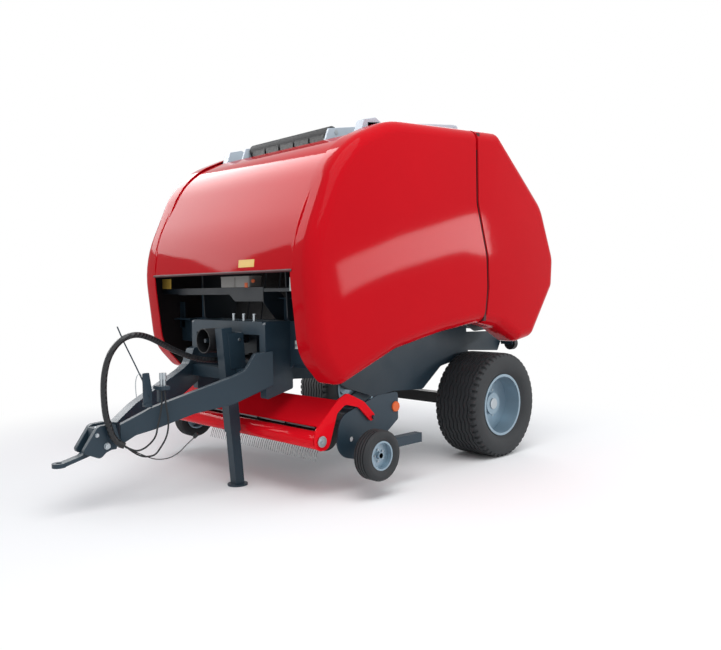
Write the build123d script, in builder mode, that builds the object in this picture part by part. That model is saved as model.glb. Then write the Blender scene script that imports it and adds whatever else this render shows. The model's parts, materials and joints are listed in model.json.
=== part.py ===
"""Round baler, parked on its two wheels and its jack, with the pickup raised.

Millimetres. +X runs forward to the towing eye, +Y to the machine's left, +Z up.
Side outlines are drawn as (x ahead of the axle, height above the ground).
The machine is parked a little nose down, so its roof rises to the rear.
"""
import os
from math import atan2, cos, degrees, pi, radians, sin, tan

from build123d import *

os.makedirs("parts", exist_ok=True)

# Reach of the whole machine from its axle, which puts the middle of its box on X = 0
EYE_REACH = 3905
REAR_REACH = 992
AXLE_X = (REAR_REACH - EYE_REACH) / 2

# Running clearances
MOVING_GAP = 6
SEAT_GAP = 0.3
SLIDE_GAP = 0.8

# Main wheels, 500/45-22.5
WHEEL_R = 510
WHEEL_W = 490
WHEEL_Y = 1032
WHEEL_BEAD_R = 286
WHEEL_FLANGE_R = 300
WHEEL_FLANGE_W = 424
WHEEL_DISC_OUT = 40
WHEEL_DISC_T = 14
HUB_R = 105
HUB_OUT = 95
SPINDLE_R = 45
AXLE_TUBE = 110

# Gauge wheels, which hang clear of the ground while the pickup is raised
GAUGE_R = 203
GAUGE_W = 148
GAUGE_X = 1880
GAUGE_Y = 1352
GAUGE_LIFT = 142
GAUGE_BEAD_R = 108
GAUGE_FLANGE_R = 117
GAUGE_FLANGE_W = 120
GAUGE_SPINDLE_R = 14

# Covers: outer faces, depth of the shell, wall and rounding
COVER_Y = 1200
COVER_DEPTH = 170
COVER_WALL = 14
COVER_ROUND = 118
SEAM_GAP = 46

# Bale chamber walls and chassis
CHAMBER_Y = 620
CHAMBER_T = 14
TAIL_WALL_Y = 646
TAIL_WALL_T = 14
CHASSIS_Y = 760
CHASSIS_T = 60

# Drawbar yoke and front frame
YOKE_Y = 520
YOKE_X0 = 2080
YOKE_X1 = 2363
YOKE_W = 80
YOKE_TOP = 1404
YOKE_FOOT = 745
CROSS_X = 1980
CROSS_HALF = 990
CROSS_Z0 = 1010
POST_W = 80
POST_Y = 820
BEAM_W = 84
TONGUE = 295
HEAD_X = EYE_REACH - TONGUE
BEAM_FRONT_X = HEAD_X - 160
BEAM_FRONT_Y = 112

# Towing eye
EYE_BORE_R = 22.5
EYE_RING_R = 50
EYE_T = 32
EYE_Z = 393

# Jack, leaning with the machine
JACK_X = 2410
JACK_Y = 190
JACK_LEAN = 4.7
JACK_TUBE = 100
JACK_WALL = 7
JACK_TOP = 1350
JACK_TUBE_FOOT = 470
JACK_FOOT_R = 86
JACK_FOOT_T = 14

# Power input
PTO_Z = 1240
PTO_R = 17.5
PTO_X0 = 2150
PTO_X1 = 2580
PTO_SPLINE = 80
PTO_SHAFT_R = 24
PTO_HOUSING = 120
PTO_HOUSING_R = 42
BELL_R = 105
BELL_WALL = 6

# Pickup: hinge on the chassis, tined reel, wind guard
PICKUP_X = 1150
PICKUP_Z = 800
PICKUP_PIN_R = 30
PICKUP_ARM_T = 30
REEL_X = 1925
REEL_Z = 445
REEL_TIP_R = 250
REEL_DRUM_R = 60
REEL_PIN_R = 22
REEL_BAR_R = 14
REEL_BAR_AT = 125
REEL_BARS = 4
TINES = 14
TINE_PITCH = 146
TINE_W = 8
BAND_R = 185
BAND_T = 4
BAND_GAP = 34
SHIELD_Y = 1112
SHIELD_T = 12
GUARD_X = 1700
GUARD_Z = 600
GUARD_ARM_T = 14
GUARD_ROLL_X = 2270
GUARD_ROLL_Z = 480
GUARD_ROLL_R = 70
ROLL_PIN_R = 15
GUARD_RIB = 8

# Tailgate hinge, on a lobe above the roof so that the red covers clear each other as it opens
GATE_X = 420
GATE_Z = 3165
GATE_PIN_R = 18
GATE_LOBE_R = 34

# Top roller
ROLLER_X = 1578
ROLLER_Z = 3062
ROLLER_R = 85
ROLLER_HALF = 575
ROLLER_PIN_R = 25
ROLLER_GAP = 10
ROLLER_BRACKET_T = 20
TIE_X = 1420
TIE_Z = 3010
TIE_W = 60
ROOF_BEAM_Y = 1000

# Hinges of the side covers, along the roof beams
HINGE_X = 900
HINGE_Z = 3104
HINGE_GAP = 30
HINGE_PIN_R = 7
HINGE_HALF = 420
HINGE_SLOPE = 3.32

# Both sides of the machine: name, sign of Y
SIDES = (("left", 1), ("right", -1))


def side(y):
    """Upright plane along the machine at y: forward from the axle, up, normal to the right."""
    return Plane(origin=(AXLE_X, y, 0), x_dir=(1, 0, 0), z_dir=(0, -1, 0))


def across(x):
    """Upright plane across the machine, x ahead of the axle: left, up, normal forward."""
    return Plane(origin=(AXLE_X + x, 0, 0), x_dir=(0, 1, 0), z_dir=(1, 0, 0))


def level(z):
    """Level plane at height z, its origin at the axle: forward, left, normal up."""
    return Plane(origin=(AXLE_X, 0, z), x_dir=(1, 0, 0), z_dir=(0, 0, 1))


def cross_axis(x, z):
    """Line across the machine through (x, z)."""
    return Axis((AXLE_X + x, 0, z), (0, 1, 0))


def finish(piece, name):
    """Label a finished piece and write it."""
    piece.part.label = name
    export_step(piece.part, f"parts/{name}.step")


def rounded(corners):
    """Closed outline through (x, z, corner radius)."""
    points = [(x, z) for x, z, r in corners]
    FilletPolyline(*points, radius=[r for x, z, r in corners], close=True)


# Cross sections of the two cover hinges: normal forward and down along the roof, local x up
HINGE_PLANE = {
    name: Plane(
        origin=(AXLE_X + HINGE_X, sign * (ROOF_BEAM_Y + HINGE_GAP / 2), HINGE_Z),
        x_dir=(sin(radians(HINGE_SLOPE)), 0, cos(radians(HINGE_SLOPE))),
        z_dir=(cos(radians(HINGE_SLOPE)), 0, -sin(radians(HINGE_SLOPE))),
    )
    for name, sign in SIDES
}

# Side outlines as (x, z, corner radius): the red shell from the front round to the rear
BODY_OUTLINE = (
    (2100, 888, 130),
    (2360, 1150, 400),
    (2450, 1950, 1000),
    (2070, 2800, 850),
    (1500, 3065, 800),
    (0, 3152, 150),
    (-760, 2480, 420),
    (-1010, 1960, 260),
    (-985, 1660, 140),
    (-600, 1150, 130),
    (-330, 1110, 130),
    (0, 1275, 300),
    (300, 1330, 400),
    (850, 1265, 600),
    (1450, 1150, 600),
)
# The S-shaped seam between a side cover and the tailgate, run out above and below the shell
SEAM = (
    (372, 3600, 1),
    (366, 2440, 250),
    (216, 1950, 250),
    (206, 1650, 300),
    (352, 1140, 1),
)


def rounded_block(sign, inset):
    """Solid of one side's red shell, drawn in by inset, its outer edges rounded."""
    with BuildPart() as block:
        with BuildSketch(side(sign * (COVER_Y - COVER_DEPTH))):
            with BuildLine():
                rounded(BODY_OUTLINE)
            make_face()
            offset(amount=-inset, mode=Mode.REPLACE)
        extrude(amount=-sign * (COVER_DEPTH - inset))
        outer = block.faces().sort_by(Axis.Y)[-1 if sign > 0 else 0]
        fillet(outer.edges(), COVER_ROUND - inset)
    return block.part


def cover_shell(sign, shift, far):
    """One side's hollow shell, from its edge at the seam to far ahead or far behind."""
    with BuildPart() as shell:
        add(rounded_block(sign, 0))
        add(rounded_block(sign, COVER_WALL), mode=Mode.SUBTRACT)
        with BuildSketch(side(0)):
            with BuildLine():
                rounded([(x + shift, z, r) for x, z, r in SEAM] + [(far, 600, 1), (far, 3600, 1)])
            make_face()
        extrude(amount=2 * COVER_Y, both=True, mode=Mode.INTERSECT)
    return shell.part


# Wheels: name, sign, centre x, y, z, tyre, rim sizes
def wheel_plane(x, y, z):
    return Plane(origin=(AXLE_X + x, y, z), x_dir=(0, 1, 0), z_dir=(1, 0, 0))


for name, sign in SIDES:
    hub_z = WHEEL_R
    with BuildPart() as tyre:
        with BuildSketch(wheel_plane(0, sign * WHEEL_Y, hub_z)):
            with BuildLine():
                half = WHEEL_W / 2
                bead = WHEEL_FLANGE_W / 2 - 10
                Polyline(
                    (-bead, WHEEL_BEAD_R + 8 + SEAT_GAP),
                    (-bead, WHEEL_FLANGE_R + 6),
                    (-half, WHEEL_R - 130),
                    (-half, WHEEL_R - 30),
                    (-half + 22, WHEEL_R),
                    (half - 22, WHEEL_R),
                    (half, WHEEL_R - 30),
                    (half, WHEEL_R - 130),
                    (bead, WHEEL_FLANGE_R + 6),
                    (bead, WHEEL_BEAD_R + 8 + SEAT_GAP),
                    close=True,
                )
            make_face()
        revolve(axis=cross_axis(0, hub_z))
    finish(tyre, f"tyre_{name}")

    with BuildPart() as rim:
        with BuildSketch(wheel_plane(0, sign * WHEEL_Y, hub_z)):
            flange = WHEEL_FLANGE_W / 2
            with Locations((0, WHEEL_BEAD_R)):
                Rectangle(2 * flange, 16)
            with Locations((-flange + 4, WHEEL_FLANGE_R - 12), (flange - 4, WHEEL_FLANGE_R - 12)):
                Rectangle(8, 24)
            with Locations((sign * WHEEL_DISC_OUT, (WHEEL_BEAD_R + HUB_R) / 2)):
                Rectangle(WHEEL_DISC_T, WHEEL_BEAD_R - HUB_R + 10)
            with Locations((sign * (HUB_OUT - 20) / 2, (HUB_R + SPINDLE_R + SEAT_GAP) / 2)):
                Rectangle(HUB_OUT + 20, HUB_R - SPINDLE_R - SEAT_GAP)
            with Locations((sign * (HUB_OUT - 6), HUB_R / 2)):
                Rectangle(12, HUB_R)
        revolve(axis=cross_axis(0, hub_z))
    finish(rim, f"rim_{name}")

    gauge_z = GAUGE_LIFT + GAUGE_R
    with BuildPart() as tyre:
        with BuildSketch(wheel_plane(GAUGE_X, sign * GAUGE_Y, gauge_z)):
            with BuildLine():
                half = GAUGE_W / 2
                bead = GAUGE_FLANGE_W / 2 - 8
                Polyline(
                    (-bead, GAUGE_BEAD_R + 4 + SEAT_GAP),
                    (-bead, GAUGE_FLANGE_R + 4),
                    (-half, GAUGE_R - 48),
                    (-half + 14, GAUGE_R - 10),
                    (-half + 36, GAUGE_R),
                    (half - 36, GAUGE_R),
                    (half - 14, GAUGE_R - 10),
                    (half, GAUGE_R - 48),
                    (bead, GAUGE_FLANGE_R + 4),
                    (bead, GAUGE_BEAD_R + 4 + SEAT_GAP),
                    close=True,
                )
            make_face()
        revolve(axis=cross_axis(GAUGE_X, gauge_z))
    finish(tyre, f"gauge_tyre_{name}")

    with BuildPart() as rim:
        with BuildSketch(wheel_plane(GAUGE_X, sign * GAUGE_Y, gauge_z)):
            flange = GAUGE_FLANGE_W / 2
            with Locations((0, GAUGE_BEAD_R)):
                Rectangle(2 * flange, 8)
            with Locations((-flange + 3, GAUGE_FLANGE_R - 7), (flange - 3, GAUGE_FLANGE_R - 7)):
                Rectangle(6, 14)
            with Locations((sign * 14, (GAUGE_BEAD_R + 28) / 2)):
                Rectangle(6, GAUGE_BEAD_R - 28)
            with Locations((0, (30 + GAUGE_SPINDLE_R + SEAT_GAP) / 2)):
                Rectangle(90, 30 - GAUGE_SPINDLE_R - SEAT_GAP)
            with Locations((sign * 42, 15)):
                Rectangle(8, 30)
        revolve(axis=cross_axis(GAUGE_X, gauge_z))
    finish(rim, f"gauge_rim_{name}")

# Axle: square beam, its two hangers and the wheel spindles
spindle_tip = WHEEL_Y + HUB_OUT - 14
with BuildPart() as axle_beam:
    with BuildSketch(side(0)):
        with Locations((0, WHEEL_R)):
            Rectangle(AXLE_TUBE, AXLE_TUBE)
    extrude(amount=CHASSIS_Y, both=True)
    with BuildSketch(side(0)):
        with Locations((0, WHEEL_R)):
            Circle(SPINDLE_R)
    extrude(amount=spindle_tip, both=True)
finish(axle_beam, "axle_beam")

# Chassis: a deep plate each side, which carries the axle, the pickup hinge and the chamber
CHASSIS_OUTLINE = (
    (CROSS_X - SEAT_GAP, 1010, 1),
    (CROSS_X - SEAT_GAP, YOKE_TOP, 1),
    (380, 1480, 100),
    (-40, 1330, 80),
    (-90, 900, 60),
    (-90, WHEEL_R + AXLE_TUBE / 2 + SEAT_GAP, 1),
    (90, WHEEL_R + AXLE_TUBE / 2 + SEAT_GAP, 1),
    (130, 930, 60),
    (364, 891, 80),
    (640, 690, 60),
    (1050, 715, 60),
    (1300, 690, 60),
    (1640, 800, 80),
)
CHAMBER_STAYS = ((700, 1300), (1700, 1200))
for name, sign in SIDES:
    with BuildPart() as chassis:
        with BuildSketch(side(sign * CHASSIS_Y)):
            with BuildLine():
                rounded(CHASSIS_OUTLINE)
            make_face()
        extrude(amount=sign * CHASSIS_T)
        with BuildSketch(side(sign * (CHASSIS_Y - CHASSIS_T))):
            with Locations((PICKUP_X, PICKUP_Z), *CHAMBER_STAYS):
                Circle(PICKUP_PIN_R)
        extrude(amount=sign * (CHASSIS_Y - CHASSIS_T - CHAMBER_Y - CHAMBER_T - SEAT_GAP))
    finish(chassis, f"chassis_{name}")

# Chamber walls of the fixed front half, with the tailgate's hinge pins
WALL_OUTLINE = (
    (340, 1200, 40),
    (CROSS_X - SEAT_GAP, 1060, 10),
    (CROSS_X - SEAT_GAP, YOKE_TOP + SEAT_GAP, 1),
    (2180, YOKE_TOP + SEAT_GAP, 40),
    (2200, 1950, 300),
    (1900, 2700, 500),
    (1500, 2960, 300),
    (GATE_X + 2 * GATE_LOBE_R, 3050, 60),
    (GATE_X + GATE_LOBE_R, GATE_Z + GATE_LOBE_R, GATE_LOBE_R - 1),
    (GATE_X - GATE_LOBE_R, GATE_Z + GATE_LOBE_R, GATE_LOBE_R - 1),
    (300, 2440, 200),
)
for name, sign in SIDES:
    with BuildPart() as wall:
        with BuildSketch(side(sign * (CHAMBER_Y + CHAMBER_T))):
            with BuildLine():
                rounded(WALL_OUTLINE)
            make_face()
            with Locations((TIE_X, TIE_Z - TIE_W / 2 - SEAT_GAP - 60)):
                Rectangle(2 * TIE_W, 120)
        extrude(amount=sign * CHAMBER_T)
        with BuildSketch(side(sign * (CHAMBER_Y + CHAMBER_T))):
            with Locations((GATE_X, GATE_Z)):
                Circle(GATE_PIN_R)
        extrude(amount=-sign * 60)
    finish(wall, f"chamber_wall_{name}")

# Drawbar: two beams in a V, the head plate between their noses, the cross beam for the jack
beam_run = atan2(YOKE_Y - BEAM_FRONT_Y, BEAM_FRONT_X - YOKE_X1)
BEAM_OUTLINE = (
    (0, 486, 1),
    (0, 653, 1),
    (180, 742, 200),
    (400, 825, 300),
    (920, 952, 60),
    (1060, 1080, 200),
    (1220, 1380, 1),
    (1220, 800, 1),
    (400, 608, 400),
)
with BuildPart() as drawbar:
    for name, sign in SIDES:
        run = Vector(-cos(beam_run), sign * sin(beam_run), 0)
        start = Vector(AXLE_X + BEAM_FRONT_X, sign * BEAM_FRONT_Y, 0)
        with BuildSketch(Plane(origin=start, x_dir=run, z_dir=run.cross(Vector(0, 0, 1)))):
            with BuildLine():
                rounded(BEAM_OUTLINE)
            make_face()
        extrude(amount=BEAM_W / 2, both=True)
    split(bisect_by=across(YOKE_X1 + SEAT_GAP), keep=Keep.TOP)
    with BuildSketch(side(0)):
        with BuildLine():
            rounded(
                (
                    (HEAD_X, 430, 20),
                    (HEAD_X, 672, 60),
                    (HEAD_X - 170, 650, 20),
                    (HEAD_X - 210, 480, 20),
                    (HEAD_X - 80, 420, 20),
                )
            )
        make_face()
    extrude(amount=BEAM_FRONT_Y, both=True)
finish(drawbar, "drawbar")

# Yoke: uprights at the rear of the beams, cross beam on top
with BuildPart() as yoke:
    for name, sign in SIDES:
        with BuildSketch(side(sign * (YOKE_Y + YOKE_W / 2))):
            with BuildLine():
                rounded(
                    (
                        (YOKE_X0 + SEAT_GAP, YOKE_FOOT + 85, 20),
                        (YOKE_X0 + SEAT_GAP, YOKE_TOP, 1),
                        (YOKE_X1, YOKE_TOP, 30),
                        (YOKE_X1, YOKE_FOOT + 15, 20),
                    )
                )
            make_face()
        extrude(amount=sign * YOKE_W)
    with BuildSketch(side(0)):
        with Locations((YOKE_X1 - 60, YOKE_TOP - 55)):
            Rectangle(120, 110)
    extrude(amount=YOKE_Y, both=True)
finish(yoke, "yoke")

# Towing eye: level ring and a tapered tongue bolted to the head
with BuildPart() as towing_eye:
    eye_x = EYE_REACH - EYE_RING_R
    with BuildSketch(level(EYE_Z - EYE_T / 2)):
        with Locations((eye_x, 0)):
            Circle(EYE_RING_R)
    extrude(amount=EYE_T)
    with BuildSketch(side(0)):
        with BuildLine():
            rounded(
                (
                    (eye_x - 20, EYE_Z - EYE_T / 2, 1),
                    (eye_x - 20, EYE_Z + EYE_T / 2, 1),
                    (HEAD_X + 90, 440, 40),
                    (HEAD_X + SEAT_GAP, 510, 1),
                    (HEAD_X + SEAT_GAP, 436, 1),
                )
            )
        make_face()
    extrude(amount=38, both=True)
    with BuildSketch(level(EYE_Z - EYE_T)):
        with Locations((eye_x, 0)):
            Circle(EYE_BORE_R)
    extrude(amount=3 * EYE_T, mode=Mode.SUBTRACT)
finish(towing_eye, "towing_eye")

# Jack: tube and leg lean together, the foot lies flat on the ground
jack_plane = Plane(
    origin=(AXLE_X + JACK_X, JACK_Y, 0),
    x_dir=(cos(radians(JACK_LEAN)), 0, -sin(radians(JACK_LEAN))),
    z_dir=(sin(radians(JACK_LEAN)), 0, cos(radians(JACK_LEAN))),
)
leg_w = JACK_TUBE - 2 * JACK_WALL - 2 * SLIDE_GAP
with BuildPart() as jack_tube:
    with BuildSketch(jack_plane.offset(JACK_TUBE_FOOT)):
        Rectangle(JACK_TUBE, JACK_TUBE)
        Rectangle(JACK_TUBE - 2 * JACK_WALL, JACK_TUBE - 2 * JACK_WALL, mode=Mode.SUBTRACT)
    extrude(amount=JACK_TOP - JACK_TUBE_FOOT)
    with BuildSketch(jack_plane.offset(JACK_TOP)):
        Rectangle(JACK_TUBE, JACK_TUBE)
    extrude(amount=JACK_WALL)
finish(jack_tube, "jack_tube")

with BuildPart() as jack_leg:
    with BuildSketch(Plane(origin=(AXLE_X + JACK_X, JACK_Y, 0))):
        Circle(JACK_FOOT_R)
    extrude(amount=JACK_FOOT_T)
    with BuildSketch(jack_plane.offset(JACK_FOOT_T / 2)):
        Rectangle(leg_w, leg_w)
    extrude(amount=950)
    with BuildSketch(Plane(origin=(AXLE_X + JACK_X, JACK_Y, -100))):
        Circle(2 * JACK_FOOT_R)
    extrude(amount=100, mode=Mode.SUBTRACT)
finish(jack_leg, "jack_leg")

# Jack carrier: a cross beam between the drawbar's beams, behind the jack's tube
with BuildPart() as jack_carrier:
    with BuildSketch(jack_plane.offset(900)):
        with Locations((-JACK_TUBE / 2 - SEAT_GAP - 30, -JACK_Y)):
            Rectangle(60, 2 * YOKE_Y)
    extrude(amount=100)
    for name, sign in SIDES:
        inboard = Vector(-sin(beam_run), -sign * cos(beam_run), 0)
        face = Vector(AXLE_X + BEAM_FRONT_X, sign * BEAM_FRONT_Y, 0) + inboard * (BEAM_W / 2 + SEAT_GAP)
        split(bisect_by=Plane(origin=face, z_dir=inboard), keep=Keep.TOP)
finish(jack_carrier, "jack_carrier")

# Front frame: full width cross beam with two posts
with BuildPart() as front_frame:
    with BuildSketch(side(0)):
        with Locations(((CROSS_X + YOKE_X0) / 2, (CROSS_Z0 + YOKE_TOP) / 2)):
            Rectangle(YOKE_X0 - CROSS_X, YOKE_TOP - CROSS_Z0)
    extrude(amount=CROSS_HALF, both=True)
    for name, sign in SIDES:
        with BuildSketch(level(YOKE_TOP)):
            with Locations((CROSS_X + POST_W / 2, sign * POST_Y)):
                Rectangle(POST_W, POST_W)
        extrude(amount=1120)
finish(front_frame, "front_frame")

# Gearbox on the frame's cross beam, with the power input stub
with BuildPart() as gearbox:
    with BuildSketch(across(YOKE_X0 + SEAT_GAP)):
        with Locations((0, PTO_Z - 40)):
            RectangleRounded(300, 360, 50)
    extrude(amount=PTO_X0 - YOKE_X0)
    with BuildSketch(across(PTO_X0)):
        with Locations((0, PTO_Z)):
            Circle(PTO_HOUSING_R)
    extrude(amount=PTO_HOUSING)
    with BuildSketch(across(PTO_X0)):
        with Locations((0, PTO_Z)):
            Circle(PTO_SHAFT_R)
    extrude(amount=PTO_X1 - PTO_SPLINE - PTO_X0)
    with BuildSketch(across(PTO_X1 - PTO_SPLINE)):
        with Locations((0, PTO_Z)):
            Circle(PTO_R)
    extrude(amount=PTO_SPLINE)
finish(gearbox, "gearbox")

with BuildPart() as pto_guard:
    neck = PTO_HOUSING_R + SEAT_GAP
    neck_x = PTO_X0 + PTO_HOUSING - 30
    with BuildSketch(side(0)):
        with BuildLine():
            Polyline(
                (neck_x, PTO_Z + neck),
                (neck_x, PTO_Z + neck + BELL_WALL),
                (YOKE_X1 + 6, PTO_Z + neck + BELL_WALL),
                (YOKE_X1 + 50, PTO_Z + BELL_R),
                (PTO_X1 + 20, PTO_Z + BELL_R),
                (PTO_X1 + 20, PTO_Z + BELL_R - BELL_WALL),
                (YOKE_X1 + 53, PTO_Z + BELL_R - BELL_WALL),
                (YOKE_X1 + 9, PTO_Z + neck),
                close=True,
            )
        make_face()
    revolve(axis=Axis((AXLE_X, 0, PTO_Z), (1, 0, 0)))
finish(pto_guard, "pto_guard")

# Bonnet between the side covers
BONNET_T = 10
RIB_T = 12
BONNET_HALF = 1005
BONNET_LINE = ((2432, 1815), (2385, 2150), (2200, 2500), (1740, 2900))
with BuildPart() as bonnet:
    with BuildSketch(side(0)):
        with BuildLine():
            FilletPolyline(*BONNET_LINE, radius=900)
        trace(line_width=BONNET_T)
    extrude(amount=BONNET_HALF, both=True)
    for name, sign in SIDES:
        with BuildSketch(side(sign * (POST_Y + RIB_T / 2))):
            with BuildLine():
                FilletPolyline(*BONNET_LINE, radius=900)
                Polyline(BONNET_LINE[-1], (BONNET_LINE[-1][0], BONNET_LINE[0][1]), BONNET_LINE[0])
            make_face()
            with Locations((CROSS_X + POST_W + SEAT_GAP, 0)):
                Rectangle(4000, 8000, align=(Align.MAX, Align.CENTER), mode=Mode.SUBTRACT)
        extrude(amount=sign * RIB_T)
finish(bonnet, "bonnet")

# Side covers with their hinge sleeves, and tailgate covers
SLEEVES = (-300, 220)
for name, sign in SIDES:
    with BuildPart() as cover:
        add(cover_shell(sign, SEAM_GAP / 2, 3000))
        for place in SLEEVES:
            with BuildSketch(HINGE_PLANE[name].offset(place)):
                Circle(HINGE_PIN_R + 6)
                with Locations((-12, -sign * HINGE_GAP / 2)):
                    Rectangle(9, 2 * HINGE_GAP)
                Circle(HINGE_PIN_R + SEAT_GAP, mode=Mode.SUBTRACT)
            extrude(amount=80)
    finish(cover, f"side_cover_{name}")
    with BuildPart() as cover:
        add(cover_shell(sign, -SEAM_GAP / 2, -2000))
    finish(cover, f"tailgate_cover_{name}")

# Tailgate: a wall each side with its hinge lobe, and the cross tubes that carry walls and covers
GATE_WALL_OUTLINE = (
    (280, 1480, 40),
    (290, 2500, 100),
    (GATE_X + GATE_LOBE_R, GATE_Z - 2 * GATE_LOBE_R, 60),
    (GATE_X + GATE_LOBE_R, GATE_Z + GATE_LOBE_R, GATE_LOBE_R - 1),
    (GATE_X - GATE_LOBE_R, GATE_Z + GATE_LOBE_R, GATE_LOBE_R - 1),
    (0, 3070, 100),
    (-700, 2430, 350),
    (-930, 1940, 200),
    (-900, 1680, 100),
    (-560, 1210, 60),
    (-330, 1200, 60),
)
GATE_TUBE_R = 50
COVER_STAY_R = 22
GATE_TUBES = ((150, 2985), (-850, 1760), (-420, 1270))
for name, sign in SIDES:
    with BuildPart() as wall:
        with BuildSketch(side(sign * (TAIL_WALL_Y + TAIL_WALL_T))):
            with BuildLine():
                rounded(GATE_WALL_OUTLINE)
            make_face()
            with Locations((GATE_X, GATE_Z)):
                Circle(GATE_PIN_R + SEAT_GAP, mode=Mode.SUBTRACT)
            with Locations(*GATE_TUBES):
                Circle(COVER_STAY_R + SEAT_GAP, mode=Mode.SUBTRACT)
        extrude(amount=sign * TAIL_WALL_T)
    finish(wall, f"tailgate_wall_{name}")

with BuildPart() as tailgate_tubes:
    with BuildSketch(side(0)):
        with Locations(*GATE_TUBES):
            Circle(GATE_TUBE_R)
    extrude(amount=TAIL_WALL_Y - SEAT_GAP, both=True)
    with BuildSketch(side(0)):
        with Locations(*GATE_TUBES):
            Circle(COVER_STAY_R)
    extrude(amount=COVER_Y - COVER_WALL - SEAT_GAP, both=True)
finish(tailgate_tubes, "tailgate_tubes")

# Top frame: roof beams, roller brackets, cross tube
ROOF_BEAM = ((1684, 2990), (1684, 3047), (440, 3200), (440, 3140))
with BuildPart() as top_frame:
    for name, sign in SIDES:
        with BuildSketch(side(sign * ROOF_BEAM_Y)):
            with BuildLine():
                Polyline(*ROOF_BEAM, close=True)
            make_face()
        extrude(amount=sign * 60)
        with BuildSketch(side(sign * (ROLLER_HALF + ROLLER_GAP + ROLLER_BRACKET_T))):
            with BuildLine():
                Polyline((1380, 2975), (1640, 2975), (1680, 3060), (1600, 3150), (1480, 3150), close=True)
            make_face()
        extrude(amount=sign * ROLLER_BRACKET_T)
        with BuildSketch(HINGE_PLANE[name]):
            Circle(HINGE_PIN_R)
        extrude(amount=HINGE_HALF, both=True)
        for end in (-1, 1):
            with BuildSketch(HINGE_PLANE[name].offset(end * HINGE_HALF)):
                with Locations((0, sign * HINGE_GAP / 4)):
                    Rectangle(2 * HINGE_PIN_R, HINGE_GAP / 2 + 2)
            extrude(amount=-end * 40)
    with BuildSketch(side(0)):
        with Locations((TIE_X, TIE_Z)):
            Rectangle(TIE_W, TIE_W)
    extrude(amount=ROOF_BEAM_Y, both=True)
    with BuildSketch(side(0)):
        with Locations((ROLLER_X, ROLLER_Z)):
            Circle(ROLLER_PIN_R + SEAT_GAP)
    extrude(amount=ROOF_BEAM_Y, both=True, mode=Mode.SUBTRACT)
finish(top_frame, "top_frame")

with BuildPart() as top_roller:
    with BuildSketch(side(0)):
        with Locations((ROLLER_X, ROLLER_Z)):
            Circle(ROLLER_R)
    extrude(amount=ROLLER_HALF, both=True)
    with BuildSketch(side(0)):
        with Locations((ROLLER_X, ROLLER_Z)):
            Circle(ROLLER_PIN_R)
    extrude(amount=ROLLER_HALF + ROLLER_GAP + ROLLER_BRACKET_T + 10, both=True)
finish(top_roller, "top_roller")

# Pickup frame: side shields, rear cross tube and the arms back to the hinge
SHIELD_OUTLINE = (
    (1370, 540, 30),
    (1370, 775, 30),
    (1620, 770, 60),
    (2060, 640, 150),
    (2100, 330, 150),
    (1800, 250, 120),
)
PICKUP_ARM = (
    (PICKUP_X - 60, PICKUP_Z - 60, 55),
    (PICKUP_X - 60, PICKUP_Z + 60, 55),
    (PICKUP_X + 60, PICKUP_Z + 60, 55),
    (1640, 660, 40),
    (1640, 560, 40),
)
ARM_Y = CHASSIS_Y - CHASSIS_T - 8
with BuildPart() as pickup_frame:
    for name, sign in SIDES:
        with BuildSketch(side(sign * SHIELD_Y)):
            with BuildLine():
                rounded(SHIELD_OUTLINE)
            make_face()
            with Locations((REEL_X, REEL_Z)):
                Circle(REEL_PIN_R + SEAT_GAP, mode=Mode.SUBTRACT)
        extrude(amount=sign * SHIELD_T)
        with BuildSketch(side(sign * ARM_Y)):
            with BuildLine():
                rounded(PICKUP_ARM)
            make_face()
            with Locations((PICKUP_X, PICKUP_Z)):
                Circle(PICKUP_PIN_R + SEAT_GAP, mode=Mode.SUBTRACT)
        extrude(amount=sign * PICKUP_ARM_T)
        with BuildSketch(side(sign * SHIELD_Y)):
            with Locations((GUARD_X, GUARD_Z)):
                Circle(16)
        extrude(amount=-sign * 40)
    with BuildSketch(side(0)):
        with Locations((1600, 610)):
            Circle(48)
    extrude(amount=SHIELD_Y, both=True)
finish(pickup_frame, "pickup_frame")

# Gauge wheel arms, with the spindles
with BuildPart() as gauge_arms:
    for name, sign in SIDES:
        with BuildSketch(side(sign * 1250)):
            with Locations((1555, 375)):
                Rectangle(670, 80)
        extrude(amount=sign * 80)
        with BuildSketch(side(sign * 1250)):
            with Locations((GAUGE_X, gauge_z)):
                Circle(GAUGE_SPINDLE_R)
        extrude(amount=-sign * (GAUGE_Y + 36 - 1250))
        with BuildSketch(side(sign * 1170)):
            with Locations((1680, 375)):
                Circle(25)
        extrude(amount=sign * (1170 - SHIELD_Y - SEAT_GAP))
finish(gauge_arms, "gauge_arms")

# Tined reel: drum, tine bars and tines
with BuildPart() as reel:
    with BuildSketch(side(0)):
        with Locations((REEL_X, REEL_Z)):
            Circle(REEL_DRUM_R)
    extrude(amount=SHIELD_Y - SHIELD_T - MOVING_GAP, both=True)
    with BuildSketch(side(0)):
        with Locations((REEL_X, REEL_Z)):
            Circle(REEL_PIN_R)
    extrude(amount=SHIELD_Y, both=True)
    for k in range(REEL_BARS):
        turn = 45 + k * 360 / REEL_BARS
        for j in range(TINES):
            y = (j - (TINES - 1) / 2) * TINE_PITCH
            with BuildSketch(side(y)):
                with Locations(Location((REEL_X, REEL_Z, 0), (0, 0, turn))):
                    with Locations(((REEL_TIP_R + REEL_DRUM_R - 10) / 2, 0)):
                        Rectangle(REEL_TIP_R - REEL_DRUM_R + 10, TINE_W)
            extrude(amount=TINE_W / 2, both=True)
finish(reel, "pickup_reel")

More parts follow.
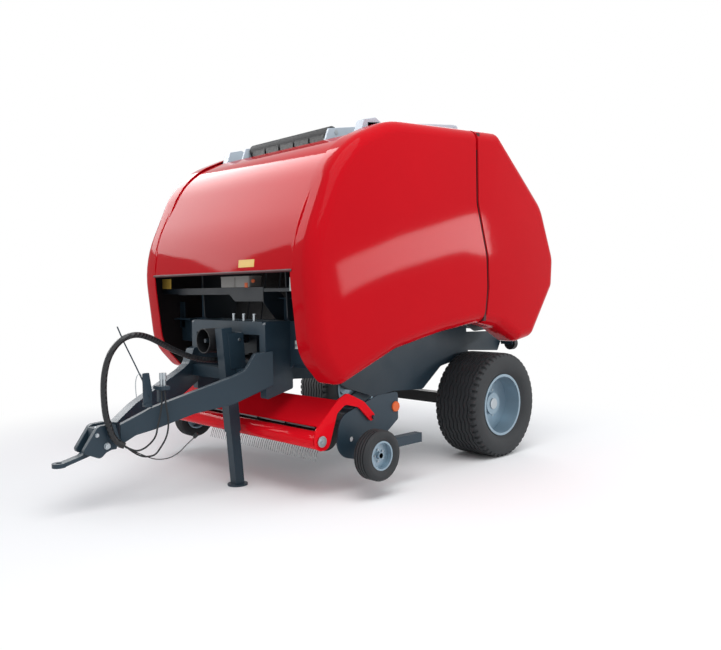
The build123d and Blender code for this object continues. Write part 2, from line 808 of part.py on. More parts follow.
# Wind guard: sheet, end plates and arms, hinged behind the reel
GUARD_PLATE = (
    (GUARD_ROLL_X + 75, GUARD_ROLL_Z - 75, 70),
    (GUARD_ROLL_X + 60, GUARD_ROLL_Z + 90, 60),
    (2080, 790, 40),
    (1990, 830, 60),
    (1800, 740, 120),
    (GUARD_X - 32, GUARD_Z + 10, 28),
    (GUARD_X + 20, GUARD_Z - 38, 28),
    (1860, 700, 100),
    (2010, 740, 60),
    (2100, 680, 60),
    (GUARD_ROLL_X - 75, GUARD_ROLL_Z - 75, 70),
)
GUARD_ARM_Y = SHIELD_Y + MOVING_GAP + GUARD_ARM_T
with BuildPart() as wind_guard:
    for name, sign in SIDES:
        with BuildSketch(side(sign * GUARD_ARM_Y)):
            with BuildLine():
                rounded(GUARD_PLATE)
            make_face()
            with Locations((GUARD_X, GUARD_Z)):
                Circle(16 + SEAT_GAP, mode=Mode.SUBTRACT)
            with Locations((GUARD_ROLL_X, GUARD_ROLL_Z)):
                Circle(ROLL_PIN_R + SEAT_GAP, mode=Mode.SUBTRACT)
        extrude(amount=sign * GUARD_ARM_T)
    with BuildSketch(side(0)):
        with BuildLine():
            Polyline((2022, 760), (2032, 770), (2250, 588), (2240, 578), close=True)
        make_face()
    extrude(amount=GUARD_ARM_Y - 1, both=True)
finish(wind_guard, "wind_guard")

with BuildPart() as guard_roller:
    with BuildSketch(side(0)):
        with Locations((GUARD_ROLL_X, GUARD_ROLL_Z)):
            Circle(GUARD_ROLL_R)
    extrude(amount=SHIELD_Y, both=True)
    with BuildSketch(side(0)):
        with Locations((GUARD_ROLL_X, GUARD_ROLL_Z)):
            Circle(ROLL_PIN_R)
    extrude(amount=GUARD_ARM_Y + 6, both=True)
finish(guard_roller, "guard_roller")
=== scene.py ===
"""A round baler in a plain studio: the finish of every part, its red shell, tyres, hoses and fittings."""

import json
from math import atan2, ceil, cos, degrees, pi, radians, sin, tan, tau

import bmesh
import bpy
from bpy.props import FloatProperty, FloatVectorProperty, PointerProperty
from mathutils import Matrix, Vector


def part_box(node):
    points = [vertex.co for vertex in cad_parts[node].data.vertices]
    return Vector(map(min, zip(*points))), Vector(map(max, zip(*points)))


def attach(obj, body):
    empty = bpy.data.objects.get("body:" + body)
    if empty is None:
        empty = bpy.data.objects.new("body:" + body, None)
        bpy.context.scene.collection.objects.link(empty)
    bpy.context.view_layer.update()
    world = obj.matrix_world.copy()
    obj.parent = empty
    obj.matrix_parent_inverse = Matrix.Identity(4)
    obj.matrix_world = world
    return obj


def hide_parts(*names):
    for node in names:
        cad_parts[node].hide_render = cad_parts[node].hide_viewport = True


bl_info = {
    "name": "Round baler",
    "version": (1, 1, 0),
    "blender": (4, 5, 0),
    "location": "3D View > Sidebar > Baler",
    "description": "Dresses the parts of a round baler and sets up its studio picture",
    "category": "Object",
}

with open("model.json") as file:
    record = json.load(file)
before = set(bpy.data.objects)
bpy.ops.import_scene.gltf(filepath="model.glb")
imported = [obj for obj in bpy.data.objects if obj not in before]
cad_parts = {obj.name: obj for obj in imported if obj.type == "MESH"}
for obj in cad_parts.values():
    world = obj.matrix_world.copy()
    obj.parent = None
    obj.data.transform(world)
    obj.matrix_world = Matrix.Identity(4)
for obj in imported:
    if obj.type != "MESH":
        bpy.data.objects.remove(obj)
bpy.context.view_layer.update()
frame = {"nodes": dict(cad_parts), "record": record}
NODES = frame["nodes"]

MM = 0.001


def middle(name):
    """Middle of a part's box, in the frame."""
    low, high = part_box(name)
    return (Vector(low) + Vector(high)) / 2


AXLE = middle("tyre_left")
SIDES = (("left", 1), ("right", -1))


def at(x, y, z):
    """Point x ahead of the axle, y to the left, z above the ground, all in millimetres."""
    return Vector((AXLE.x + x * MM, y * MM, z * MM))


def linear(code):
    """The linear colour of an sRGB hex value."""
    parts = [int(code[i:i + 2], 16) / 255 for i in (1, 3, 5)]
    return [c / 12.92 if c <= 0.04045 else ((c + 0.055) / 1.055) ** 2.4 for c in parts]


def colour_setting(name, text, code):
    """A colour that a user may change."""
    return FloatVectorProperty(
        name=name, description=text, subtype="COLOR", size=3, min=0, max=1, default=linear(code)
    )


def length_setting(name, text, value, low, high):
    """A length in metres that a user may change."""
    return FloatProperty(
        name=name, description=text, default=value, min=low, max=high, unit="LENGTH", precision=4
    )


class BalerColours(bpy.types.PropertyGroup):
    """Paint and rubber colours."""

    cover: colour_setting("Covers", "Gloss enamel of the covers and the bonnet", "#b90d19")
    # The wind guard wears the covers' red made about one and a half times lighter: painted light for the
    # guard, which sits in shade low in front
    guard: colour_setting("Wind guard", "Gloss enamel of the wind guard and its roller, lightened as painted light", "#de1220")
    frame: colour_setting("Frame", "Powder coat of frame, drawbar and pickup", "#21333f")
    roof: colour_setting("Roof rails", "Powder coat of the rails that carry the covers", "#b7c2cc")
    rim: colour_setting("Rims", "Silver enamel of the wheels", "#8fa3b0")
    rubber: colour_setting("Rubber", "Tyres, belts and hoses", "#1b1e21")


class BalerSizes(bpy.types.PropertyGroup):
    """Sizes of what is added to the parts."""

    cover_round: length_setting(
        "Cover rounding", "Radius round the outer edge of the red shell", 0.118, 0.04, 0.14
    )
    cover_wall: length_setting("Cover wall", "Thickness of the moulded shell", 0.010, 0.003, 0.02)
    groove_depth: length_setting(
        "Tread depth", "Depth of the zigzag grooves in the main tyres", 0.012, 0.004, 0.02
    )
    tine_wire: length_setting("Tine wire", "Diameter of a tine's spring wire", 0.006, 0.004, 0.01)
    hose_bundle: length_setting("Hose bundle", "Diameter of the sleeve round the hoses", 0.048, 0.03, 0.06)
    hose: length_setting("Hose", "Diameter of a single hose", 0.014, 0.008, 0.02)


class BalerStudio(bpy.types.PropertyGroup):
    """Camera, floor and lamps."""

    lens: FloatProperty(
        name="Lens", description="Focal length on a 36 mm sensor", default=36.807, min=10, max=200,
        unit="CAMERA",
    )
    floor: colour_setting("Floor", "Floor under the machine", "#fbfbfb")
    softbox: FloatProperty(
        name="Softbox", description="Power of the overhead softbox", default=250, min=0, unit="POWER"
    )
    strip: FloatProperty(
        name="Strip", description="Power of the strip lamp that runs along the covers", default=150, min=0,
        unit="POWER",
    )
    sky: FloatProperty(
        name="Surround", description="Strength of the light from all round", default=0.74, min=0, max=2
    )


def node(tree, kind, inputs=None, **settings):
    """Add a node with its settings, and give its inputs their values or links."""
    made = tree.nodes.new(kind)
    for key, value in settings.items():
        setattr(made, key, value)
    for key, value in (inputs or {}).items():
        if isinstance(value, bpy.types.NodeSocket):
            tree.links.new(value, made.inputs[key])
        else:
            made.inputs[key].default_value = value
    return made


def per_metre(size_mm):
    """Texture scale at which a pattern's feature is that many millimetres long."""
    return 1000 / size_mm


def surface(name, colour, roughness, metallic=0.0, ior=1.5, gloss=0.5):
    """A new material with its shader and texture coordinates: material, tree, shader, place."""
    made = bpy.data.materials.new(name)
    made.use_nodes = True
    tree = made.node_tree
    tree.nodes.clear()
    values = {"Roughness": roughness, "Metallic": metallic, "IOR": ior, "Specular IOR Level": gloss}
    shader = node(tree, "ShaderNodeBsdfPrincipled", {"Base Color": (*colour, 1), **values})
    node(tree, "ShaderNodeOutputMaterial", {"Surface": shader.outputs["BSDF"]})
    place = node(tree, "ShaderNodeTexCoord").outputs["Object"]
    made.diffuse_color = (*colour, 1)
    return made, tree, shader, place


def grain(tree, shader, place, size_mm, height_mm, detail=3):
    """Raise the surface by a fine noise."""
    noise = node(tree, "ShaderNodeTexNoise", {"Vector": place, "Scale": per_metre(size_mm), "Detail": detail})
    values = {"Height": noise.outputs["Fac"], "Strength": 1.0, "Distance": height_mm * MM}
    bump = node(tree, "ShaderNodeBump", values)
    tree.links.new(bump.outputs["Normal"], shader.inputs["Normal"])


def cloudy(tree, shader, place, size_mm, low, high):
    """Let the roughness drift from low to high over patches of that size."""
    noise = node(tree, "ShaderNodeTexNoise", {"Vector": place, "Scale": per_metre(size_mm), "Detail": 4})
    values = {"From Min": 0.3, "From Max": 0.7, "To Min": low, "To Max": high}
    span = node(tree, "ShaderNodeMapRange", {"Value": noise.outputs["Fac"], **values})
    tree.links.new(span.outputs["Result"], shader.inputs["Roughness"])


def tinted(tree, shader, place, size_mm, dark, light):
    """Let the base colour drift between two tones over patches of that size."""
    noise = node(tree, "ShaderNodeTexNoise", {"Vector": place, "Scale": per_metre(size_mm), "Detail": 4})
    values = {"Factor": noise.outputs["Fac"], "A": (*dark, 1), "B": (*light, 1)}
    mix = node(tree, "ShaderNodeMix", values, data_type="RGBA")
    tree.links.new(mix.outputs["Result"], shader.inputs["Base Color"])


def shade(colour, factor):
    """A colour made darker or lighter."""
    return [min(1.0, c * factor) for c in colour]


def enamel(name, colour):
    """Gloss enamel sprayed on moulded panels: a deep, even colour with sharp but faint reflections."""
    made, tree, shader, place = surface(name, colour, 0.07, gloss=0.05)
    # The orange peel of the spray is 2 to 5 mm across, drawn at 60 mm so that it shows
    grain(tree, shader, place, 60, 0.03, detail=0)
    tinted(tree, shader, place, 900, shade(colour, 0.92), shade(colour, 1.06))
    return made


def powder_coat(name, colour):
    """Baked polyester powder on steel: an even satin with a fine texture and a little dust."""
    made, tree, shader, place = surface(name, colour, 0.42, gloss=0.4)
    # Powder coat's texture is about 1 mm across, drawn at 6 mm so that it shows
    grain(tree, shader, place, 6, 0.06)
    cloudy(tree, shader, place, 250, 0.37, 0.54)
    tinted(tree, shader, place, 400, shade(colour, 0.86), shade(colour, 1.14))
    return made


def silver_enamel(name, colour):
    """Aluminium flake enamel on pressed steel rims: grey, half metallic, softly bright."""
    made, tree, shader, place = surface(name, colour, 0.34, metallic=0.55)
    grain(tree, shader, place, 4, 0.02)
    cloudy(tree, shader, place, 120, 0.28, 0.42)
    return made


def moulded_rubber(name, colour):
    """Carbon black rubber out of a mould: dull, deep grey, faintly dusty."""
    made, tree, shader, place = surface(name, colour, 0.7, ior=1.52)
    grain(tree, shader, place, 3, 0.12)
    tinted(tree, shader, place, 160, shade(colour, 0.7), shade(colour, 1.7))
    return made


def sand_cast(name, colour):
    """Painted sand-cast iron: a coarse skin with grains of 1 to 2 mm, drawn at 5 mm."""
    made, tree, shader, place = surface(name, colour, 0.5)
    grain(tree, shader, place, 5, 0.5, detail=5)
    return made


def moulded_plastic(name, colour):
    """Injection moulded polypropylene: matt, spark-eroded grain of 1 mm, drawn at 3 mm."""
    made, tree, shader, place = surface(name, colour, 0.5, ior=1.49)
    grain(tree, shader, place, 3, 0.05)
    return made


def galvanised(name, colour):
    """Zinc plated steel fasteners and wire: bright grey metal with small crystal patches of 8 mm."""
    made, tree, shader, place = surface(name, colour, 0.32, metallic=1.0)
    cloudy(tree, shader, place, 8, 0.26, 0.46)
    grain(tree, shader, place, 4, 0.02)
    return made


def spiral_wrap(name, colour):
    """Spiral-wrapped hose sleeve in black polypropylene: ribs 20 mm apart with a soft shine."""
    made, tree, shader, place = surface(name, colour, 0.38, ior=1.49)
    # A wave texture of scale 1 has its ribs 314 mm apart
    values = {"Vector": place, "Scale": 16.0, "Distortion": 0.6}
    wave = node(tree, "ShaderNodeTexWave", values, bands_direction="DIAGONAL")
    values = {"Height": wave.outputs["Fac"], "Strength": 1.0, "Distance": 2.5 * MM}
    bump = node(tree, "ShaderNodeBump", values)
    tree.links.new(bump.outputs["Normal"], shader.inputs["Normal"])
    return made


def woven_belt(name, colour):
    """Rubber belt on a woven ply: a diamond grip of 25 mm pressed into its face."""
    made, tree, shader, place = surface(name, colour, 0.62, ior=1.52)
    grip = node(tree, "ShaderNodeTexVoronoi", {"Vector": place, "Scale": per_metre(25)}, feature="F1")
    values = {"Height": grip.outputs["Distance"], "Strength": 1.0, "Distance": 2 * MM}
    bump = node(tree, "ShaderNodeBump", values)
    tree.links.new(bump.outputs["Normal"], shader.inputs["Normal"])
    return made


# Every finish: how it is made, its name, its colour as a setting or in sRGB, the record's slot it goes with
FINISHES = {
    "cover_enamel": (enamel, "Gloss enamel, red", "cover", "red_paint"),
    # Same enamel as the covers, lightened: painted light on the shaded wind guard and its roller
    "guard_enamel_painted_light": (enamel, "Gloss enamel, bright red", "guard", "red_paint"),
    "cover_inner": (moulded_plastic, "Moulded shell, unpainted inside", "#140d0f", "red_paint"),
    "seam_dark": (moulded_rubber, "Seam profile, rubber", "#3a0a10", "black_rubber"),
    "frame_coat": (powder_coat, "Powder coat, blue grey", "frame", "frame_paint"),
    # The frame's blue grey darkened to about two thirds: painted shade for walls deep inside the machine and
    # parts under the bonnet
    "painted_shade_coat": (powder_coat, "Powder coat, slate", "#151d24", "frame_paint"),
    "roof_coat": (powder_coat, "Powder coat, light grey", "roof", "light_grey_paint"),
    "rim_enamel": (silver_enamel, "Silver wheel enamel", "rim", "silver_paint"),
    "black_coat": (powder_coat, "Powder coat, black", "#0d0f11", "black_steel"),
    "cast_iron": (sand_cast, "Cast iron, painted", "#1b2831", "cast_iron"),
    "black_plastic": (moulded_plastic, "Polypropylene, black", "#121417", "black_plastic"),
    "grey_plastic": (moulded_plastic, "Polypropylene, grey", "#85837f", "black_plastic"),
    "orange_plastic": (moulded_plastic, "Acrylic reflector, orange", "#d65c1c", "black_plastic"),
    "red_plastic": (moulded_plastic, "Acrylic lens, red", "#8f1014", "black_plastic"),
    "yellow_film": (moulded_plastic, "Vinyl film, yellow", "#dcb452", "black_plastic"),
    "pale_film": (moulded_plastic, "Vinyl film, pale", "#c9d2cf", "black_plastic"),
    "zinc": (galvanised, "Zinc plate", "#b4bbc0", "silver_paint"),
    "tine_steel": (galvanised, "Spring steel wire", "#8d9091", "silver_paint"),
    "sleeve": (spiral_wrap, "Spiral-wrapped sleeve", "#15171a", "black_rubber"),
    "belt": (woven_belt, "Grip-faced belt", "#0f1113", "black_rubber"),
    "rubber": (moulded_rubber, "Moulded rubber", "rubber", "tyre"),
}


def material(key):
    """The material of that finish, made once."""
    for known in bpy.data.materials:
        if known.get("baler_finish") == key:
            return known
    make, name, colour, _ = FINISHES[key]
    settings = bpy.context.scene.baler_colours
    made = make(name, linear(colour) if colour[0] == "#" else getattr(settings, colour))
    made["baler_finish"] = key
    return made


# Which finish each of the record's slots wears
SLOT_FINISH = {
    "red_paint": "cover_enamel",
    "frame_paint": "frame_coat",
    "light_grey_paint": "roof_coat",
    "silver_paint": "rim_enamel",
    "black_steel": "black_coat",
    "cast_iron": "cast_iron",
    "black_plastic": "black_plastic",
    "black_rubber": "rubber",
    "tyre": "rubber",
}
# Nodes whose finish differs from their slot's: painted shade, a darkened frame paint, deep inside the
# machine, and painted light, a lightened copy of the covers' red, on the shaded wind guard low in front
NODE_FINISH = {
    "chamber_wall_left": "painted_shade_coat",
    "chamber_wall_right": "painted_shade_coat",
    "tailgate_wall_left": "painted_shade_coat",
    "tailgate_wall_right": "painted_shade_coat",
    "wind_guard": "guard_enamel_painted_light",
    "guard_roller": "guard_enamel_painted_light",
}


def linked(name, data):
    """A new object of that data in the scene."""
    made = bpy.data.objects.new(name, data)
    bpy.context.scene.collection.objects.link(made)
    return made


def piece(name, form, key, body="machine", crease=32, edge=0.0):
    """Close a mesh under construction into a piece: its finish, shading, and the body that it rides on."""
    bmesh.ops.recalc_face_normals(form, faces=form.faces)
    mesh = bpy.data.meshes.new(name)
    form.to_mesh(mesh)
    form.free()
    return placed(name, mesh, key, body, crease, edge)


def assemble(name, key, shapes, body="machine", **finish):
    """A piece put together from shapes, each as the function that draws it and what that takes."""
    form = bmesh.new()
    for draw, *values in shapes:
        draw(form, *values)
    return piece(name, form, key, body, **finish)


def placed(name, mesh, key, body, crease=32, edge=0.0):
    """Give a finished mesh its material and its body."""
    if not mesh.materials:
        mesh.materials.append(material(key))
    mesh.shade_smooth()
    mesh.set_sharp_from_angle(angle=radians(crease))
    made = linked(name, mesh)
    if edge:
        bevel = made.modifiers.new("Edges", "BEVEL")
        bevel.width = edge * MM
        bevel.segments = 2
        bevel.limit_method = "ANGLE"
        bevel.angle_limit = radians(40)
        bevel.harden_normals = True
    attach(made, body)
    return made


def arc(corner, before, after, radius):
    """Points that round one corner of an outline."""
    here = Vector(corner)
    back = (Vector(before) - here).normalized()
    ahead = (Vector(after) - here).normalized()
    turn = pi - back.angle(ahead)
    if radius < 2 or turn < 0.01:
        return [corner]
    centre = here + (back + ahead).normalized() * (radius / cos(turn / 2))
    first = here + back * (radius * tan(turn / 2)) - centre
    sense = 1 if back.x * ahead.y - back.y * ahead.x < 0 else -1
    start = atan2(first.y, first.x)
    steps = max(2, ceil(degrees(turn) / 5))
    angles = [start + sense * turn * k / steps for k in range(steps + 1)]
    return [(centre.x + radius * cos(angle), centre.y + radius * sin(angle)) for angle in angles]


def rounded(corners, closed=True):
    """Outline through (across, up, corner radius), its corners turned to arcs."""
    points = []
    last = len(corners) - 1
    for k, (x, z, radius) in enumerate(corners):
        if not closed and k in (0, last):
            points.append((x, z))
        else:
            points += arc((x, z), corners[k - 1][:2], corners[(k + 1) % len(corners)][:2], radius)
    return points


def prism(form, outline, spot, start, end):
    """A plate with that outline, from one depth to another; spot turns outline and depth into a place."""
    rows = [[form.verts.new(spot(a, b, depth)) for a, b in outline] for depth in (start, end)]
    faces = [form.faces.new(rows[0]), form.faces.new(rows[1][::-1])]
    for k in range(len(outline)):
        faces.append(form.faces.new((rows[0][k - 1], rows[1][k - 1], rows[1][k], rows[0][k])))
    return faces


def sideways(x, z, y):
    """Places for a plate drawn in side view."""
    return at(x, y, z)


def frontways(y, z, x):
    """Places for a plate drawn in front view."""
    return at(x, y, z)


def bar(form, low, high):
    """A rectangular bar between two corners."""
    (x0, y0, z0), (x1, y1, z1) = low, high
    prism(form, ((x0, z0), (x1, z0), (x1, z1), (x0, z1)), sideways, y0, y1)


def rod(form, start, end, radius, sides=14, tip=None):
    """A round bar between two places, in millimetres; tip is its radius at the end."""
    a, b = at(*start), at(*end)
    along = b - a
    turn = along.to_track_quat("Z", "Y").to_matrix().to_4x4()
    bmesh.ops.create_cone(
        form,
        cap_ends=True,
        segments=sides,
        radius1=radius * MM,
        radius2=(radius if tip is None else tip) * MM,
        depth=along.length,
        matrix=Matrix.Translation((a + b) / 2) @ turn,
    )


def turned(form, sections, x, z):
    """A ring about an axis across the machine: one section for each step, as (radius, y) points."""
    rows = []
    for k, section in enumerate(sections):
        c, s = cos(tau * k / len(sections)), sin(tau * k / len(sections))
        rows.append([form.verts.new(at(x + r * c, y, z + r * s)) for r, y in section])
    for k, row in enumerate(rows):
        for j in range(len(row)):
            form.faces.new((rows[k - 1][j - 1], rows[k - 1][j], row[j], row[j - 1]))


def bolt(form, spot, way, size=20):
    """A washer and a hexagon head on a face that looks along way."""
    here, way = Vector(spot), Vector(way).normalized()
    rod(form, here, here + way * size * 0.15, size, 16)
    rod(form, here + way * size * 0.15, here + way * size * 0.7, size * 0.85, 6)


def wire(name, points, diameter, key):
    """A round wire, hose or cable on the machine's body, along the smooth curve of its points."""
    data = bpy.data.curves.new(name, "CURVE")
    data.dimensions = "3D"
    line = data.splines.new("NURBS")
    line.points.add(len(points) - 1)
    for point, spot in zip(line.points, points):
        point.co = (*at(*spot), 1)
    line.order_u = 3
    line.use_endpoint_u = True
    line.resolution_u = 6
    data.bevel_depth = diameter / 2
    data.bevel_resolution = 3
    data.use_fill_caps = True
    data.materials.append(material(key))
    made = linked(name, data)
    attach(made, "machine")
    return made


class BALER_OT_finishes(bpy.types.Operator):
    """Give every part of the machine its finish"""

    bl_idname = "baler.finishes"
    bl_label = "Finishes"

    def execute(self, context):
        for part in frame["record"]["subparts"]:
            mesh = NODES[part["node"]].data
            key = NODE_FINISH.get(part["node"], SLOT_FINISH[part["material_slot"]])
            mesh.materials.clear()
            mesh.materials.append(material(key))
        return {"FINISHED"}


# Routes of the hoses, in millimetres ahead of the axle, to the left and above the ground
BUNDLE = (
    (2150, 70, 1080), (2300, 70, 1075), (2450, 60, 1075), (2617, 60, 1081), (2776, 70, 1121),
    (2934, 90, 1189), (3051, 110, 1249), (3157, 130, 1303), (3272, 145, 1338), (3368, 140, 1324),
    (3443, 130, 1271), (3507, 125, 1178), (3542, 125, 1060), (3553, 125, 941), (3550, 125, 820),
    (3543, 130, 729), (3524, 135, 659), (3504, 140, 579), (3468, 155, 521), (3423, 176, 494),
)
# Clamp and grommet at the bundle's ends: start, end, radius at the start, radius at the end
BUNDLE_ENDS = (
    ((3455, 160, 512), (3423, 176, 494), 27, 24),
    ((2140, 70, 1080), (2190, 70, 1079), 34, 29),
)
# Each hose: name, length in metres, share of a hose's diameter, material, route
HOSES = (
    ("hose_front", 0.670, 1.0, "rubber", (
        (3423, 176, 494), (3355, 189, 441), (3293, 217, 451), (3237, 242, 497), (3201, 258, 550),
        (3188, 263, 628), (3169, 272, 706), (3153, 279, 824), (3156, 278, 926),
    )),
    ("hose_rear", 0.804, 1.0, "rubber", (
        (3423, 186, 494), (3367, 195, 440), (3313, 219, 403), (3272, 237, 394), (3216, 262, 401),
        (3180, 278, 453), (3136, 297, 529), (3119, 305, 616), (3121, 304, 704), (3137, 297, 800),
        (3140, 296, 926),
    )),
    ("lamp_cable", 0.605, 0.55, "black_plastic", (
        (3423, 180, 484), (3277, 246, 396), (3222, 270, 371), (3165, 295, 366), (3109, 320, 376),
        (3051, 346, 411), (3000, 369, 470), (2942, 395, 521),
    )),
)
# What a hose ends in, from its last point: start, end, radius at the start, sides, radius at the end
END_PIECES = {
    "fitting": (((0, 0, -6), (0, 0, 60), 13, 6, 13), ((0, 0, 60), (0, 0, 110), 16, 18, 16)),
    "plug": (((8, -5, -8), (-17, 7, 24), 12, 16, 18),),
}
# Bent wires on the drawbar: name, diameter in metres, material, route
WIRES = (
    ("support_rod", 0.011, "frame_coat", (
        (3211, 198, 850), (3290, 163, 1060), (3350, 137, 1210), (3380, 123, 1285), (3420, 106, 1402),
    )),
    ("hose_hook", 0.007, "zinc", (
        (3305, 158, 850), (3313, 153, 948), (3296, 161, 1032), (3262, 176, 1038), (3250, 180, 850),
    )),
)
# Plates that hold the couplers: outline as (ahead, up, corner radius), and from where to where across
HOLDER_PLATES = (
    (((3265, 790, 8), (3265, 1036, 8), (3210, 1036, 8), (3190, 900, 8), (3190, 760, 8)), 180, 192),
    (((3180, 905, 4), (3180, 935, 4), (3110, 935, 4), (3110, 905, 4)), 190, 330),
)
HOLDER_BARS = (((3120, 190, 800), (3150, 230, 910)), ((3195, 150, 770), (3255, 200, 800)))


class BALER_OT_hoses(bpy.types.Operator):
    """Hose bundle over the drawbar, with its hoses, cables, couplers and support rod"""

    bl_idname = "baler.hoses"
    bl_label = "Hoses"

    def execute(self, context):
        sizes = context.scene.baler_sizes
        ends = [(rod, start, end, radius, 20, tip) for start, end, radius, tip in BUNDLE_ENDS]
        clamp = assemble("bundle_ends", "black_plastic", ends)
        bundle = wire("hose_bundle", BUNDLE, sizes.hose_bundle, "sleeve")
        for name, length, share, key, route in HOSES:
            made = wire(name, route, sizes.hose * share, key)
            far_end, finish = ("fitting", "zinc") if key == "rubber" else ("plug", "black_plastic")
            last = Vector(route[-1])
            ends = [(rod, last + Vector(a), last + Vector(b), *more) for a, b, *more in END_PIECES[far_end]]
            tip = assemble(name + "_end", finish, ends, crease=25)
        for name, diameter, key, route in WIRES:
            wire(name, route, diameter, key)
        plates = [(prism, rounded(outline), sideways, start, end) for outline, start, end in HOLDER_PLATES]
        assemble("coupler_holder", "frame_coat", plates + [(bar, *box) for box in HOLDER_BARS], edge=2)
        return {"FINISHED"}


# Side outline of the red shell as (ahead, up, corner radius), and the seam between cover and tailgate
SHELL = (
    (2170, 890, 135), (2405, 1150, 400), (2495, 1950, 1000), (2115, 2800, 850), (1545, 3055, 800),
    (60, 3147, 130), (-705, 2495, 420), (-935, 1960, 260), (-910, 1660, 140), (-525, 1150, 130),
    (-260, 1110, 130), (70, 1275, 300), (360, 1330, 400), (900, 1265, 600), (1500, 1150, 600),
)
SHELL_Y = 1275
SHELL_DEPTH = 245
SEAM = ((437, 3600, 1), (431, 2440, 250), (281, 1950, 250), (271, 1650, 300), (417, 800, 1))
SEAM_HALF = 18
# Rubber profile behind the seam: its ends, its reach behind the seam's line, its depths in the shell
PROFILE_TOP = (421, 3090)
PROFILE_FOOT = (345, 1345)
PROFILE_BACK = (44, 8)
PROFILE_DEPTH = (34, 12)


def seam_at(z):
    """How far ahead of the axle the seam runs at a height."""
    line = rounded(SEAM, closed=False)
    for (x0, z0), (x1, z1) in zip(line, line[1:]):
        if z1 <= z <= z0:
            return x0 + (x1 - x0) * (z - z0) / (z1 - z0)
    return line[0][0] if z > line[0][1] else line[-1][0]


def parted(fore, shift):
    """The shell's outline ahead of the seam or behind it, and the points that lie on the seam."""
    def beyond(point):
        gap = point[0] - seam_at(point[1]) - shift
        return gap if fore else -gap

    outline = rounded(SHELL)
    kept, edge = [], []
    for before, here in zip(outline[-1:] + outline[:-1], outline):
        a, b = beyond(before), beyond(here)
        if a * b < 0:
            share = a / (a - b)
            cross = tuple(p + (q - p) * share for p, q in zip(before, here))
            kept.append(cross)
            edge.append(cross)
            if a > 0:
                leaving = len(kept)
        if b > 0:
            kept.append(here)
    low, high = sorted(point[1] for point in edge)
    seam = [(x + shift, z) for x, z in rounded(SEAM, closed=False) if low < z < high]
    if kept[leaving - 1][1] == low:
        seam.reverse()
    return kept[:leaving] + seam + kept[leaving:], edge + seam


def shell(sign, fore, shift, size, wall):
    """One side's red shell, ahead of the seam or behind it: painted faces first and inner faces second."""
    outline, seam = parted(fore, shift)
    form = bmesh.new()
    inner, outer = prism(form, outline, sideways, sign * (SHELL_Y - SHELL_DEPTH), sign * SHELL_Y)[:2]
    bmesh.ops.delete(form, geom=[inner], context="FACES_ONLY")
    on_seam = {vert for vert, point in zip(outer.verts, outline[::-1]) if point in seam}
    edges = [edge for edge in outer.edges if not all(vert in on_seam for vert in edge.verts)]
    bmesh.ops.bevel(
        form, geom=edges, offset=size, offset_type="OFFSET", segments=9, profile=0.5, affect="EDGES",
        clamp_overlap=False,
    )
    bmesh.ops.recalc_face_normals(form, faces=form.faces)
    crown = max(form.faces, key=lambda face: len(face.verts))
    if crown.normal.y * sign < 0:
        bmesh.ops.reverse_faces(form, faces=form.faces)
    mesh = bpy.data.meshes.new("shell")
    form.to_mesh(mesh)
    form.free()
    mesh.materials.append(material("cover_enamel"))
    mesh.materials.append(material("cover_inner"))
    block = linked("shell", mesh)
    solid = block.modifiers.new("Wall", "SOLIDIFY")
    solid.thickness = wall
    solid.offset = -1
    solid.material_offset = 1
    solid.material_offset_rim = 0
    bpy.context.view_layer.update()
    made = bpy.data.meshes.new_from_object(block.evaluated_get(bpy.context.evaluated_depsgraph_get()))
    bpy.data.objects.remove(block)
    return made


class BALER_OT_covers(bpy.types.Operator):
    """Red shells of the side covers and the tailgate, parted by the S-shaped seam"""

    bl_idname = "baler.covers"
    bl_label = "Covers"

    def execute(self, context):
        sizes = context.scene.baler_sizes
        for side, sign in SIDES:
            for name, fore, shift, body in (
                (f"side_cover_{side}", True, SEAM_HALF, f"cover_{side}"),
                (f"tailgate_cover_{side}", False, -SEAM_HALF, "tailgate"),
            ):
                mesh = shell(sign, fore, shift, sizes.cover_round, sizes.cover_wall)
                made = placed(name + "_shell", mesh, "cover_enamel", body, crease=28)
                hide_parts(name)
            self.seam(side, sign)
        return {"FINISHED"}

    def seam(self, side, sign):
        """Rubber profile behind the seam, on the tailgate's side, where the two shells meet."""
        low, high = PROFILE_FOOT[1], PROFILE_TOP[1]
        line = [(x, z) for x, z in rounded(SEAM, closed=False) if low < z < high]
        line = [PROFILE_TOP, *line, PROFILE_FOOT]
        far, near = PROFILE_BACK
        band = [(x - far, z) for x, z in line] + [(x - near, z) for x, z in reversed(line)]
        depths = [sign * (SHELL_Y - depth) for depth in PROFILE_DEPTH]
        assemble(f"seam_profile_{side}", "seam_dark", [(prism, band, sideways, *depths)], "tailgate")


# The bonnet's line in side view as (ahead, up, corner radius), and half its width
BONNET = ((2462, 1815, 0), (2425, 2130, 1000), (2090, 2772, 760), (1735, 2945, 0))
BONNET_HALF = 1050
BONNET_HALF_WALL = 5
RETURN_OUT, RETURN_IN = 12, -60
LIP = (2464, 1812)
RIB_Y = 820
RIB_BACK = ((2061, 2640), (2061, 1830), (2440, 1830))


def along(points, shift):
    """The same open line moved sideways by a distance."""
    moved = []
    for k, point in enumerate(points):
        a, b = Vector(points[max(k - 1, 0)]), Vector(points[min(k + 1, len(points) - 1)])
        way = (b - a).normalized()
        moved.append((point[0] + way.y * shift, point[1] - way.x * shift))
    return moved


def between(points, outer, inner):
    """The closed outline between two distances from an open line."""
    return along(points, outer) + along(points, inner)[::-1]


